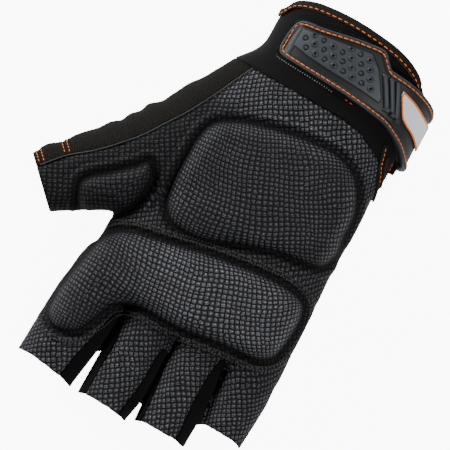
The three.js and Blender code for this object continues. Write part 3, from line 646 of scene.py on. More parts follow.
def gusset_zone(pair, grow, x, y, z):
    """Distance to the strip between two fingers, less than 0 inside it."""
    first, second = (FINGERS[name][1] for name in pair)
    inner = [(rows["left"] + rows["right"]) / 2 for rows in (first, second)]
    left = np.interp(y, first["y"][1:], inner[0][1:]) + 2
    right = np.interp(y, second["y"][1:], inner[1][1:]) - 2
    above = np.abs(z - GUSSET_LEVEL) - GUSSET_HALF_HEIGHT
    box = np.maximum(np.maximum(left - x, x - right), np.maximum(GUSSET_START - y, above))
    notch = np.maximum(on_plan(gusset_plan[pair], x, y), NOTCH_FLOOR - z)
    return np.minimum(box, notch) - grow


def leather_zone(x, y, z):
    return np.maximum(on_plan(leather_plan, x, y), SEAM_HEIGHT - z)


def all_gussets(x, y, z):
    zones = [gusset_zone(pair, GAP, x, y, z) for pair in NOTCHES]
    return np.minimum(np.minimum(zones[0], zones[1]), zones[2])


def palm_relief(x, y, z):
    """How far the leather stands off the plain skin: channels, welts and folds."""
    near = on_plan(any_pad, x, y)
    channel = (-1.0 * np.exp(-((near - 0.8) / 1.5) ** 2) + 0.45 * np.exp(-((near - 3.9) / 1.0) ** 2)
               - 0.25 * np.exp(-((near - 5.6) / 0.7) ** 2))
    seam = on_plan(leather_plan, x, y)
    edge = -0.6 * np.exp(-((seam + 0.2) / 0.9) ** 2)
    creases = 0.35 * ripple(x, y * 0.6, 13, 3) * ramp(near, 2, 8)
    return (channel + edge + creases) * ramp(z, 12, 18)


def palm_shell(h, x, y, z):
    skin = h - palm_relief(x, y, z)
    shell = np.maximum(skin, -skin - WALL)
    shell = np.maximum(shell, leather_zone(x, y, z))
    shell = np.maximum(shell, -all_gussets(x, y, z))
    return np.maximum(shell, finger_end(x, y))


LIP, THIN_WALL = 1.6, 0.7  # a panel's inner lip under its neighbour, and the neighbour's wall over it


def in_hem(x, y):
    back, _ = thumb_coordinates(x, y)
    return np.where(by_thumb(x, y), back - THUMB_HEM, FAR)


def back_relief(x, y):
    return 0.35 * ripple(x * 0.7, y, 14, 5)


def knit_shell(h, x, y, z):
    shell = np.maximum(h - back_relief(x, y) * 0.6, -h - WALL)
    shell = np.maximum(shell, GAP * 2 - leather_zone(x, y, z))
    shell = np.maximum(shell, cuff_y(x) - y)
    return np.maximum(shell, finger_end(x, y))


def back_shell(h, x, y, z):
    shell = np.maximum(knit_shell(h, x, y, z), -all_gussets(x, y, z))
    tucked = np.maximum(-in_hem(x, y) - LIP, h + THIN_WALL + 0.2)
    return np.maximum(shell, np.minimum(GAP - in_hem(x, y), tucked))


def hem_shell(h, x, y, z):
    back, _ = thumb_coordinates(x, y)
    grooves = sum(-0.35 * np.exp(-((back - row) / 0.7) ** 2) for row in (2.6, 13.0))
    shell = np.maximum(h - 0.3 - grooves, -h - np.where(back > THUMB_HEM - LIP - 0.5, THIN_WALL, WALL))
    shell = np.maximum(shell, GAP * 2 - leather_zone(x, y, z))
    return np.maximum(np.maximum(shell, in_hem(x, y) + GAP), finger_end(x, y))


GUSSET_SINK = 0.12


def gusset_shell(pair):
    def field(h, x, y, z):
        shell = np.maximum(h + GUSSET_SINK, -h - WALL)
        shell = np.maximum(shell, gusset_zone(pair, -GAP, x, y, z))
        return np.maximum(shell, finger_end(x, y))
    return field


def slit_gap(x, y, z):
    past_end = np.where(y > SLIT["y"][0], FAR, 0.0)
    return SLIT_HALF_WIDTH - np.abs(slit_offset(x, y, z)) - past_end


def cuff_shell(h, x, y, z):
    shell = np.maximum(h - 0.15 * ripple(x, y, 17, 4), -h - CUFF_WALL)
    past = y - cuff_y(x)
    shell = np.maximum(shell, np.minimum(past + GAP, np.maximum(past - LIP, h + WALL + 0.2)))
    shell = np.maximum(shell, rim_y(x) + 0.8 - y)
    return np.maximum(shell, slit_gap(x, y, z))


PAD_RISE = {"heel": 6.4, "knuckle": 6.4, "thumb": 4.6}
PAD_SHOULDER = {"heel": 6.5, "knuckle": 6.0, "thumb": 4.6}


def pad_top(name, x, y):
    inward = -on_plan(pad_plan[name], x, y)
    rise, shoulder = PAD_RISE[name], PAD_SHOULDER[name]
    t = np.clip(inward / shoulder, 0, 1)
    dome = (1 - (1 - t) ** 2.4) ** 0.8
    crown = 1 - np.exp(-np.maximum(inward - shoulder * 0.6, 0) / 9)
    return rise * (0.8 * dome + 0.26 * crown)


def pad_shell(name):
    def field(h, x, y, z):
        seat = 0.05 + palm_relief(x, y, z)
        body = np.maximum(h - 0.1 - pad_top(name, x, y), seat - h)
        return np.maximum(body, on_plan(pad_plan[name], x, y) - 0.25)
    return field


# Materials


def material(name, color, roughness):
    made = bpy.data.materials.new(name)
    made.use_nodes = True
    shader = made.node_tree.nodes["Principled BSDF"]
    shader.inputs["Base Color"].default_value = (*color, 1)
    shader.inputs["Roughness"].default_value = roughness
    return made, shader


class Nodes:
    """Short calls for building one material's nodes."""

    def __init__(self, made):
        self.tree = made.node_tree

    def link(self, a, b):
        self.tree.links.new(a, b)

    def feed(self, socket, value):
        if isinstance(value, bpy.types.NodeSocket):
            self.link(value, socket)
        else:
            socket.default_value = value

    def add(self, kind, inputs=(), **values):
        node = self.tree.nodes.new(kind)
        for key, value in values.items():
            setattr(node, key, value)
        for key, value in dict(inputs).items():
            self.feed(node.inputs[key], value)
        return node

    def math(self, operation, a, b=0.0, c=0.0):
        return self.add("ShaderNodeMath", {0: a, 1: b, 2: c}, operation=operation).outputs[0]

    def remap(self, value, low, high, to_low, to_high, smooth=False):
        node = self.add("ShaderNodeMapRange", {0: value, 1: low, 2: high, 3: to_low, 4: to_high},
                        interpolation_type="SMOOTHSTEP" if smooth else "LINEAR")
        return node.outputs[0]

    def noise(self, vector, scale, detail=2.0):
        node = self.add("ShaderNodeTexNoise", {"Vector": vector, "Scale": scale, "Detail": detail})
        return node.outputs["Fac"]

    def cell_edge(self, vector, scale, randomness):
        node = self.add("ShaderNodeTexVoronoi", feature="DISTANCE_TO_EDGE", voronoi_dimensions="2D",
                        inputs={"Vector": vector, "Scale": scale, "Randomness": randomness})
        return node.outputs["Distance"]

    def attribute(self, name, output):
        return self.add("ShaderNodeAttribute", attribute_name=name).outputs[output]

    def color(self, shader, share, a, b):
        node = self.add("ShaderNodeMix", {0: share, 6: (*a, 1), 7: (*b, 1)}, data_type="RGBA")
        self.link(node.outputs[2], shader.inputs["Base Color"])

    def bump(self, shader, strength, distance, height):
        node = self.add("ShaderNodeBump",
                        {"Strength": strength, "Distance": distance, "Height": height})
        self.link(node.outputs["Normal"], shader.inputs["Normal"])


def object_coordinates(nodes, stretch=1.0):
    place_ = nodes.add("ShaderNodeTexCoord").outputs["Object"]
    return nodes.add("ShaderNodeMapping", {"Vector": place_, "Scale": (stretch,) * 3}).outputs["Vector"]


def cloth_coordinates(nodes, pitch):
    """Places on the flat cloth, counted in cells of the given size in millimetres."""
    cells = {0: nodes.attribute("grain", "Vector"), 1: (1 / pitch, 1 / pitch, 1)}
    return nodes.add("ShaderNodeVectorMath", cells, operation="MULTIPLY").outputs[0]


SCALE_PITCH = 2.05
BRIGHTEST_TONE = 2.2


def leather(name, sunk, raised, depth):
    """Small raised scales with dark lines sunk between them. Their light colour follows the tone attribute's
    painted light and shade: the light tops are partly painted sheen and the dark lines partly painted shade.
    """
    made, shader = material(name, sunk, 0.5)
    nodes = Nodes(made)
    vector = cloth_coordinates(nodes, SCALE_PITCH)
    cell = nodes.remap(nodes.cell_edge(vector, 1.0, 0.3), 0.02, 0.32, 0.0, 1.0, True)
    half = nodes.remap(nodes.cell_edge(vector, 2.0, 0.35), 0.0, 0.4, 0.25, 1.0, True)
    fine = nodes.noise(vector, 4.0, 3.0)
    # Here only a slow random wander in the scales' brightness.
    wear_and_painted_light = nodes.remap(nodes.noise(vector, 0.16, 1.0), 0.35, 0.65, 0.75, 1.0)
    mottled = nodes.remap(fine, 0.35, 0.65, 0.35, 1.25)
    embossed = nodes.math("MULTIPLY", nodes.math("MULTIPLY", cell, half), wear_and_painted_light)
    # tone is painted light and shade from the mesh: it sets how light the scales are painted (lit) and how
    # much they show in roughness and bump (shown).
    tone = nodes.attribute("tone", "Fac")
    shown = nodes.math("MULTIPLY", embossed, nodes.math("MINIMUM", tone, 1.0))
    lit = nodes.math("MULTIPLY", embossed, nodes.math("MULTIPLY", tone, 1 / BRIGHTEST_TONE))
    nodes.color(shader, nodes.math("MULTIPLY", lit, mottled), sunk, raised)
    nodes.link(nodes.remap(shown, 0.0, 1.0, 0.7, 0.4), shader.inputs["Roughness"])
    nodes.link(nodes.remap(shown, 0.0, 1.0, 0.12, 0.45), shader.inputs["Specular IOR Level"])
    nodes.bump(shader, 1.0, depth, nodes.math("MULTIPLY_ADD", fine, 0.15, shown))
    return made


def cloth(name, base, bright, pitch, roughness, strength=0.6, sheen=0.15, woven=True):
    """A knitted or woven face: a fine mesh of bumps with a little fuzz."""
    made, shader = material(name, base, roughness)
    nodes = Nodes(made)
    vector = cloth_coordinates(nodes, pitch) if woven else object_coordinates(nodes, 1000)
    cells = nodes.add("ShaderNodeTexVoronoi", voronoi_dimensions="2D" if woven else "3D",
                      inputs={"Scale": 1.0 if woven else 1 / pitch,
                              "Randomness": 0.25 if woven else 1.0, "Vector": vector}).outputs["Distance"]
    fuzz = nodes.noise(vector, 2.0, 3.0)
    knot = nodes.remap(cells, 0.12, 0.5, 1.0, 0.05, True)
    nodes.color(shader, nodes.math("MULTIPLY", fuzz, knot), base, bright)
    height = nodes.math("MULTIPLY_ADD", fuzz, 0.6, nodes.math("SUBTRACT", 1.0, cells))
    nodes.bump(shader, strength, 0.0003, height)
    shader.inputs["Sheen Weight"].default_value = sheen
    shader.inputs["Sheen Roughness"].default_value = 0.4
    shader.inputs["Specular IOR Level"].default_value = 0.2
    return made


def speckled(name, color, roughness, dark, light, scale):
    """A plain finish whose colour wanders between two."""
    made, shader = material(name, color, roughness)
    nodes = Nodes(made)
    nodes.color(shader, nodes.noise(object_coordinates(nodes), scale), dark, light)
    return made


def thread(name, base, bright):
    return speckled(name, base, 0.6, base, bright, 1400.0)


def rubber():
    made, shader = material("moulded_rubber_grain", (0.008, 0.0085, 0.0095), 0.5)
    nodes = Nodes(made)
    nodes.color(shader, nodes.attribute("tone", "Fac"), (0.006, 0.006, 0.0065), (0.04, 0.047, 0.055))
    nodes.bump(shader, 0.2, 0.0001, nodes.noise(object_coordinates(nodes), 2600.0))
    shader.inputs["Specular IOR Level"].default_value = 0.35
    return made


# The raised colours are partly the embossed pattern and partly painted sheen on the scales.
LEATHER = leather("leather_scales", (0.0014, 0.0014, 0.0017), (0.22, 0.223, 0.25), 0.0003)
PAD_LEATHER = leather("pad_leather_scales", (0.003, 0.003, 0.0035), (0.27, 0.274, 0.305), 0.0003)
KNIT = cloth("rib_knit", (0.0008, 0.0007, 0.0005), (0.04, 0.035, 0.027), 0.74, 0.95, 1.0, 0.0)
GUSSET = cloth("gusset_fabric", (0.001, 0.001, 0.001), (0.004, 0.004, 0.0035), 0.6, 0.95, 0.4, 0.02)
NEOPRENE = cloth("neoprene_face", (0.002, 0.002, 0.0022), (0.007, 0.007, 0.008), 0.5, 0.9, 0.25, 0.06)
BINDING = cloth("binding_tape", (0.009, 0.007, 0.005), (0.035, 0.027, 0.02), 0.6, 0.9, 0.5, 0.15, False)
HOOK = cloth("hook_fuzz", (0.001, 0.001, 0.001), (0.008, 0.008, 0.008), 0.8, 1.0, 1.0, 0.1, False)
STRAP = cloth("strap_face", (0.004, 0.004, 0.0045), (0.01, 0.01, 0.011), 0.6, 0.9, 0.4, 0.1, False)
ORANGE = thread("orange_thread", (0.8, 0.09, 0.004), (1.0, 0.3, 0.03))
RED = thread("red_thread", (0.7, 0.05, 0.008), (0.95, 0.12, 0.02))
PIPING = thread("rolled_leather_edge", (0.004, 0.004, 0.0045), (0.05, 0.05, 0.055))
SPECKLED = thread("dark_speckled_thread", (0.004, 0.004, 0.003), (0.045, 0.044, 0.036))
GREY = thread("grey_thread", (0.04, 0.04, 0.04), (0.5, 0.5, 0.5))
RUBBER = rubber()
WHITE = speckled("white_patch", (0.8, 0.82, 0.86), 0.45, (0.76, 0.78, 0.83), (0.86, 0.88, 0.92), 1500.0)


# Places on the flat cloth

TURN = math.radians(31)
DROP = 0.75


def turned(x, y):
    cos, sin = math.cos(TURN), math.sin(TURN)
    return np.stack([x * cos + y * sin, -x * sin + y * cos], axis=1)


def shell_grain(points):
    """Where each point of the glove's skin lies on the flat cloth, about."""
    x, y, z = points.T
    left, right, high = columns_at(BODY, "y", y, "left right high")
    middle, crown = (left + right) / 2, high
    slide = np.tanh((x - middle) / 6) * np.maximum(crown - z, 0)
    which = np.digitize(x, FINGER_SPLITS)
    for i, (_, rows) in enumerate(FINGERS.values()):
        left, right, high = columns_at(rows, "y", y, "left right high")
        own = np.tanh((x - (left + right) / 2) / 4) * np.maximum(high - z, 0)
        slide = np.where(which == i, slide + (own - slide) * ramp(y, 44, 60), slide)
    back, out = thumb_coordinates(x, y)
    inner, outer, high = columns_at(THUMB, "back", back, "inner outer high")
    thumb_slide = np.tanh((out - (outer - inner) / 2) / 4) * np.maximum(high - z, 0)
    on_thumb = ramp(body_field(x, y, z) - thumb_field(x, y, z), -3, 6)
    wander = 1.1 * ripple(x, y, 34, 6), 1.1 * ripple(x, y, 34, 9)
    gx = x + DROP * (slide * (1 - on_thumb) + thumb_slide * on_thumb * ACROSS[0]) + wander[0]
    gy = y + DROP * thumb_slide * on_thumb * ACROSS[1] + wander[1]
    return turned(gx, gy)


# Painted light and shade for the palm leather's colour, carried by its tone attribute.
def leather_painted_light(points):
    x, y, z = points.T
    near = on_plan(any_pad, x, y)
    # Painted shade: darker in the channels next to the pads.
    shade = ramp(near, 1.0, 4.5) * 0.85 + 0.15
    # Painted light: lighter towards the cuff and towards the fingers.
    painted_light_by_cuff = 1 + 1.1 * ramp(y, -36, -48) + 0.55 * ramp(y, 50, 60)
    # Painted shade: darker on the thumb.
    on_thumb = 1 - 0.58 * ramp(body_field(x, y, z) - thumb_field(x, y, z), -4, 6)
    # Painted crease shading: lighter and darker ripples near the finger roots.
    painted_crease_shade = 1.1 + 0.45 * ripple(x, y, 8, 5) * ramp(y, 44, 54)
    # Painted shade: darker towards the seam with the knit.
    return shade * painted_light_by_cuff * on_thumb * painted_crease_shade * (1 - 0.4 * ramp(leather_zone(x, y, z), -1.0, 0))


PAD_BEND = {"heel": (3.0, 15.0), "knuckle": (16.0, 16.0), "thumb": (90.0, 15.0)}
STEEPEST_BEND = 0.68


def pad_grain(name, points):
    """Places on a pad's stretched leather, whose rows bend round towards the thumb side."""
    x, y, z = points.T
    nudge = 0.6
    drop = PAD_RISE[name] * 1.06 - pad_top(name, x, y)
    slope = np.stack([on_plan(pad_plan[name], x + nudge, y) - on_plan(pad_plan[name], x - nudge, y),
                      on_plan(pad_plan[name], x, y + nudge) - on_plan(pad_plan[name], x, y - nudge)], axis=1)
    slope /= np.maximum(np.linalg.norm(slope, axis=1), 0.3)[:, None]
    wander = np.stack([1.6 * ripple(x, y, 38, 2), 1.6 * ripple(x, y, 38, 7)], axis=1)
    flat = np.stack([x, y], axis=1) + slope * drop[:, None] * DROP + wander
    u, v = turned(flat[:, 0], flat[:, 1]).T
    start, soft = PAD_BEND[name]
    past = (u - start) / soft
    tilt = STEEPEST_BEND * (1 + np.tanh(past)) / 2
    climb = STEEPEST_BEND * (u + soft * np.log(np.cosh(past))) / 2
    return np.stack([u - 0.6 * tilt * (v - np.median(v)), v + climb], axis=1) / (1 + 0.1 * tilt)[:, None]


# How light each pad's leather is painted: painted shade, darkest on the thumb pad.
PAD_PAINTED_SHADE = {"heel": 0.95, "knuckle": 1.0, "thumb": 0.5}


# Painted light and shade for a pad's colour, carried by its tone attribute, over a small random wander.
def pad_tone_and_painted_light(name, points):
    x, y, _ = points.T
    inward = -on_plan(pad_plan[name], x, y)
    # A small random wander times each pad's painted shade.
    wear_and_painted_light = (1 + 0.12 * ripple(x, y, 30, 4)) * PAD_PAINTED_SHADE[name]
    if name == "knuckle":
        # Painted sheen: the knuckle pad lighter towards one side.
        wear_and_painted_light = wear_and_painted_light + 1.3 * ramp(x * 0.86 + y * 0.5, 56, 26)
    if name == "heel":
        # Painted highlight: a lighter band along the heel pad's shoulder, 2 to 7 mm in from its edge.
        wear_and_painted_light = wear_and_painted_light + 0.5 * ramp(inward, 7, 2)
    # Painted shade: darker at the pad's foot.
    return (0.15 + 0.85 * ramp(inward, 0.0, 1.5)) * wear_and_painted_light


# Soft panels


def panel(name, shell, low, high, step, finish, slot, node, tone=None):
    """A panel of the glove's skin, carved in a box, with its place on the flat cloth."""
    points, faces = carved(shell, low, high, step)
    piece(name, points, faces, finish, slot, [node], shell_grain(points),
          None if tone is None else tone(points))


FINE = 0.66
PAD_FINE = 0.42
panel("palm_leather", palm_shell, (-52, -64, 10.5), (88, 94, 38), FINE, LEATHER, "leather",
      "palm_panel", leather_painted_light)
panel("back_knit", back_shell, (-52, -64, -1), (84, 92, 40), FINE * 1.06, KNIT, "knit", "back_panel")
panel("thumb_hem_knit", hem_shell, (52, 2, 0), (88, 44, 30), FINE * 0.85, KNIT, "knit", "thumb_hem")
for first, second in NOTCHES:
    start, end = FINGERS[first][1]["left"][1] + 6, FINGERS[second][1]["right"][1] - 2
    panel(f"{first}_{second}_fourchette", gusset_shell((first, second)), (start, 44, 5), (end, 92, 32),
          FINE * 0.95, GUSSET, "gusset", f"{first}_{second}_gusset")
panel("cuff_neoprene", cuff_shell, (-46, -99, -1), (40, -48, 44), FINE, NEOPRENE, "neoprene", "cuff")

for name, low, high in (("heel", (-45, -50, 18), (36, 17, 45)), ("knuckle", (-46, 6, 16), (49, 76, 44)),
                        ("thumb", (34, -8, 14), (66, 29, 42))):
    points, faces = carved(pad_shell(name), low, high, PAD_FINE)
    cushion = piece(f"{name}_cushion", points, faces, PAD_LEATHER, "pad_leather", [f"{name}_pad"],
                    pad_grain(name, points), pad_tone_and_painted_light(name, points))


# Bands round the cuff


def closed_grid(top, bottom):
    """A closed skin over two matching grids of points: rows, columns, 3."""
    rows, columns = top.shape[:2]
    points = np.concatenate([top.reshape(-1, 3), bottom.reshape(-1, 3)])
    count = rows * columns
    i, j = np.meshgrid(np.arange(rows - 1), np.arange(columns - 1), indexing="ij")
    a = (i * columns + j).ravel()
    upper = np.stack([a, a + columns, a + columns + 1, a + 1], axis=1)
    lower = upper[:, ::-1] + count
    edge = np.concatenate([
        np.arange(columns), np.arange(1, rows) * columns + columns - 1,
        (rows - 1) * columns + np.arange(columns - 2, -1, -1), np.arange(rows - 2, 0, -1) * columns])
    ahead = np.roll(edge, -1)
    sides = np.stack([edge, ahead, ahead + count, edge + count], axis=1)
    return points, [upper, lower, sides]


def band_grid(rows, angle_step, across):
    angles = np.arange(rows["angle"][0], rows["angle"][-1] + angle_step / 2, angle_step)
    low = np.interp(angles, rows["angle"], rows["low"])
    high = np.interp(angles, rows["angle"], rows["high"])
    share = np.linspace(0, 1, across)
    return np.repeat(angles[:, None], across, 1), low[:, None] + (high - low)[:, None] * share


def softened(rows, spacing):
    """The rows of a band with smooth edges."""
    angles = np.arange(rows["angle"][0], rows["angle"][-1] + spacing / 2, spacing)
    return {"angle": angles, "low": smooth_at(rows["angle"], rows["low"], angles),
            "high": smooth_at(rows["angle"], rows["high"], angles)}


STRAP_LIFT = 2.3
TAB_UNDER = 2.6
TAB_FLOOR = 4.5
tab_rows = softened(TAB, 1.0)
step = 0.38
tab_angle, tab_y = band_grid(tab_rows, step, 88)
tab_middle = body_point(tab_y, tab_angle, TAB_FLOOR)
border = np.concatenate([tab_middle[:, 0], tab_middle[-1], tab_middle[::-1, -1], tab_middle[0][::-1]])


def nearest_distance(points, others):
    flat = points.reshape(-1, 3)
    best = np.full(len(flat), 1e9)
    for start in range(0, len(others), 64):
        gap = ((flat[:, None] - others[None, start:start + 64]) ** 2).sum(axis=2)
        best = np.minimum(best, gap.min(axis=1))
    return np.sqrt(best).reshape(points.shape[:-1])


to_border = nearest_distance(tab_middle, even(border, 0.5))
lip = 0.95 * np.sqrt(np.clip(1 - ((to_border - 0.6) / 0.65) ** 2, 0, 1))
stitch_groove = 0.45 * (1 - ramp(to_border, 1.9, 2.5)) * ramp(to_border, 0.6, 1.2)
relief = np.maximum(lip, stitch_groove)
tone = np.maximum(0.75 * (1 - ramp(to_border, 0.9, 1.3)), 0.12)

grip_x = tab_middle[..., 0]
grip_low = np.interp(grip_x, GRIP["x"], GRIP["low"])
grip_high = np.interp(grip_x, GRIP["x"], GRIP["high"])
in_grip = np.minimum(np.minimum(tab_y - grip_low, grip_high - tab_y),
                     np.minimum(grip_x - GRIP["x"][0], GRIP["x"][-1] - grip_x))
in_grip = np.where(tab_angle < 130, in_grip, -9)
relief = relief + 0.55 * ramp(in_grip, -0.15, 0.25) - 0.4 * np.exp(-((in_grip + 0.45) / 0.25) ** 2)
# The grip is given a lighter colour; the groove round it is painted darker as shade.
tone = np.maximum(tone, ramp(in_grip, -0.1, 0.2)) - 0.12 * np.exp(-((in_grip + 0.45) / 0.35) ** 2)
rail = np.where((tab_y > grip_high + 0.9) & (to_border > 2.6) & (tab_angle < 100), 1.0, 0.0)
relief = relief + rail * 0.05 * np.sin(grip_x * 2 * math.pi / 0.95)
bevel = ramp(grip_x, GRIP["x"][-1] - 0.3, GRIP["x"][-1] + 0.3) * ramp(to_border, 2.0, 2.4) * (tab_angle < 75)
relief = relief + bevel * 0.45 * (1 - ramp(grip_x, GRIP["x"][-1] + 0.5, GRIP["x"][-1] + 4.5))
# Painted highlight: the sloped bevel at the grip's free end is painted light.
tone = np.maximum(tone, 0.9 * bevel)
DOT_PITCH = 4.3
DOT_SLOPE = -0.03
for dot_x, dot_y, count in zip(DOTS["x"], DOTS["y"], DOTS["count"]):
    for i in range(int(count)):
        x, y = dot_x + i * DOT_PITCH, dot_y + i * DOT_PITCH * DOT_SLOPE
        centre = body_point(y, angle_over(x, y, TAB_FLOOR), TAB_FLOOR)
        r = np.linalg.norm(tab_middle - centre, axis=-1)
        if i % 2:
            shape = 0.35 * (1 - ramp(r, 0.45, 0.65)) - 0.45 * np.exp(-((r - 0.9) / 0.22) ** 2)
            shade = -1.7 * np.exp(-((r - 0.9) / 0.25) ** 2)
        else:
            shape = 0.6 * np.exp(-((r - 0.8) / 0.27) ** 2) - 0.45 * (1 - ramp(r, 0.28, 0.5))
            shade = -1.3 * (1 - ramp(r, 0.4, 0.65)) - 0.7 * np.exp(-((r - 1.3) / 0.2) ** 2)
        relief = relief + shape
        tone = np.clip(tone + shade, 0.0, 1)
for ends in RIBS:
    ys = np.linspace(ends[0, 1], ends[1, 1], 60)
    beside = np.linspace(ends[0, 0], ends[1, 0], 60) - 1.4
    between_ribs = body_point(ys, angle_over(beside, ys, TAB_FLOOR), TAB_FLOOR)
    trough = 1 - ramp(nearest_distance(tab_middle, between_ribs), 1.2, 1.7)
    relief = relief - 0.5 * trough * (to_border > 2.2)
    # Painted shade: the troughs beside the ribs are painted black.
    tone = tone * (1 - trough)
for ends in RIBS:
    angles = [float(angle_over(x, y, TAB_FLOOR)) for x, y in ends]
    line = body_point(np.linspace(ends[0, 1], ends[1, 1], 60), np.linspace(*angles, 60), TAB_FLOOR)
    r = nearest_distance(tab_middle, line)
    relief = np.maximum(relief, 1.2 * np.clip((1.08 - r) / 0.3, 0, 1) ** 0.6 * (1 - 0.15 * r ** 2))
    tone = np.maximum(tone, 0.85 * (1 - ramp(r, 0.75, 1.0)))
    block = body_point(ends[0, 1], angles[0], TAB_FLOOR)
    r = np.abs(tab_middle - block).max(axis=-1)
    relief = np.maximum(relief, 1.7 * (1 - ramp(r, 0.85, 1.15)))
    tone = np.where(r < 1.0, 0.35, tone)
top = body_point(tab_y, tab_angle, TAB_FLOOR + relief)
bottom = body_point(tab_y, tab_angle, TAB_UNDER)
piece("pull_tab_rubber", *closed_grid(top, bottom), RUBBER, "moulded_rubber", ["pull_tab"],
      tone=np.concatenate([tone.ravel(), np.full(tone.size, 0.15)]))


def band(name, rows, under, over, material_, slot, node, swell=0.0, step=1.5, across=14, soft=True):
    angle, y = band_grid(softened(rows, 1.0) if soft else rows, step, across)
    middle = (y - y[:, :1]) / (y[:, -1:] - y[:, :1])
    lift = over + swell * np.sqrt(np.clip(1 - (2 * middle - 1) ** 4, 0, 1))
    return piece(name, *closed_grid(body_point(y, angle, lift), body_point(y, angle, under)),
                 material_, slot, node)


def between(rows, start, end, inset=0.0):
    inner = rows["angle"][(rows["angle"] > start) & (rows["angle"] < end)]
    angles = np.concatenate([[start], inner, [end]])
    return {"angle": angles, "low": np.interp(angles, rows["angle"], rows["low"]) + inset,
            "high": np.interp(angles, rows["angle"], rows["high"]) - inset}


HOOK_TURN = 7  # degrees that the hook tape reaches past the tab's free end
HOOK_SHOWS = 1.1
strap_rows = softened(between(TAB, 100, 216, 1.2), 1.0)
strap_top = np.interp(strap_rows["angle"], (168, 180), (-70, -49.4))
strap_rows["high"] = np.maximum(strap_rows["high"], strap_top)
band("wrist_strap_neoprene", strap_rows, 0.3, STRAP_LIFT - 0.3, STRAP, "neoprene",
     ["wrist_strap"], 0.3)
hook_rows = between(TAB, 46, 101)
hook_rows["angle"] = hook_rows["angle"] - HOOK_TURN
hook_rows["high"] = hook_rows["high"] + HOOK_SHOWS
band("hook_tape_fuzz", hook_rows, 0.3, STRAP_LIFT, HOOK, "hook_tape", ["hook_tape"])
band("label_patch", LABEL, TAB_FLOOR + 0.3, TAB_FLOOR + 0.85, WHITE, "label", ["label"],
     swell=0.1, step=0.8, across=16, soft=False)


def rim_path(angles, inset):
    """Stations along the cuff's rim, inset towards the fingers: y for each angle."""
    y = np.full(len(angles), -88.0)
    for _ in range(6):
        y = rim_y(body_point(y, angles, 0)[:, 0]) + inset
    return y


def swept(name, rings, material_, slot, nodes=(), closed=False):
    """A skin over rings of points: stations, points round each one, 3."""
    count, sides = rings.shape[:2]
    i, j = np.meshgrid(np.arange(count if closed else count - 1), np.arange(sides), indexing="ij")
    n, m = (i + 1) % count, (j + 1) % sides
    corners = [i * sides + j, i * sides + m, n * sides + m, n * sides + j]
    faces = [np.stack(corners, axis=-1).reshape(-1, 4)]
    if not closed:
        faces += [np.arange(sides)[::-1][None], np.arange(sides)[None] + (count - 1) * sides]
    piece(name, rings.reshape(-1, 3), faces, material_, slot, nodes)


def ribbon(name, stations, profile, node):
    """A binding tape whose section, of side shifts and lifts, is swept along its stations."""
    rings = np.stack([stations(side, lift) for side, lift in profile], axis=1)
    swept(name, rings, BINDING, "binding", [node])


slit_angle = float(SLIT["angle"][-1])
rim_angles = np.arange(slit_angle + 1.4, slit_angle + 360 - 1.2, 1.5)
RIM_SECTION = [
    (0.3, -0.6), (0.15, 0.4), (0.45, 1.05), (1.2, 1.22), (2.8, 1.15), (3.6, 0.85), (3.7, 0.3),
    (1.6, 0.28), (0.75, 0.25), (0.7, -1.2), (0.75, -2.65), (1.6, -2.7), (2.9, -2.7), (2.95, -3.3),
    (1.8, -3.6), (0.7, -3.4), (0.3, -2.4),
]
SLIT_SECTION = [(0.6, 0.3), (0.7, 0.9), (1.2, 1.2), (1.9, 1.15), (2.4, 0.8), (2.4, 0.3)]
ribbon("cuff_rim_tape", lambda side, lift: body_point(rim_path(rim_angles, side), rim_angles, lift),
       RIM_SECTION, "cuff_binding")


def slit_ribbon(name, from_y, to_y, side, node):
    ys = np.linspace(from_y, to_y, 40)
    flat = np.stack([-np.radians(slit_angle_at(ys)) * CUFF_RADIUS, ys], axis=1)
    along = np.gradient(flat, axis=0)
    along /= np.linalg.norm(along, axis=1)[:, None]
    beside = np.stack([-along[:, 1], along[:, 0]], axis=1)

    def stations(shift, lift):
        moved = flat - beside * shift * -side
        return body_point(moved[:, 1], np.degrees(-moved[:, 0] / CUFF_RADIUS), lift)

    ribbon(name, stations, SLIT_SECTION if side > 0 else SLIT_SECTION[::-1], node)


slit_ribbon("slit_tape_palm", -0.25 * REACH, -0.385 * REACH, 1, "slit_binding_palm")
slit_ribbon("slit_tape_back", -0.275 * REACH, -0.352 * REACH, -1, "slit_binding_back")


# Stitches


def stitched(name, runs, material_, slot, length=1.7, gap=0.7, radius=0.22, lift=0.12):
    """Short rounded stitches laid along lines of points with their outward directions."""
    sides = 6
    profile = [(-0.5, 0.35), (-0.4, 0.85), (0.0, 1.0), (0.4, 0.85), (0.5, 0.35)]
    turn = np.arange(sides) * 2 * math.pi / sides
    points, quads, caps = [], [], []
    for line, out in runs:
        lengths = lengths_along(line)
        pitch = length + gap
        count = int(lengths[-1] // pitch)
        for i in range(count):
            at = (i + 0.5) * pitch + (lengths[-1] - count * pitch) / 2
            ends = [at_length(at + s * length / 2, lengths, line) for s in (-1, 1)]
            normal = at_length(at, lengths, out)
            normal /= np.linalg.norm(normal)
            along = ends[1] - ends[0]
            along /= np.linalg.norm(along)
            across = np.cross(normal, along)
            centre = (ends[0] + ends[1]) / 2 + normal * lift
            base = len(points) * len(profile) * sides
            rings = []
            for share, size in profile:
                sag = -1.2 * radius * (2 * abs(share)) ** 3
                spokes = np.cos(turn)[:, None] * across + np.sin(turn)[:, None] * normal * 0.8
                spokes = spokes * radius * size
                rings.append(centre + along * share * length + normal * sag + spokes)
            points.append(np.concatenate(rings))
            for k in range(len(profile) - 1):
                for j in range(sides):
                    m = (j + 1) % sides
                    quads.append((base + k * sides + j, base + k * sides + m,
                                  base + (k + 1) * sides + m, base + (k + 1) * sides + j))
            caps.append([base + j for j in range(sides)][::-1])
            caps.append([base + (len(profile) - 1) * sides + j for j in range(sides)])
    piece(name, np.concatenate(points), [quads, caps], material_, slot)


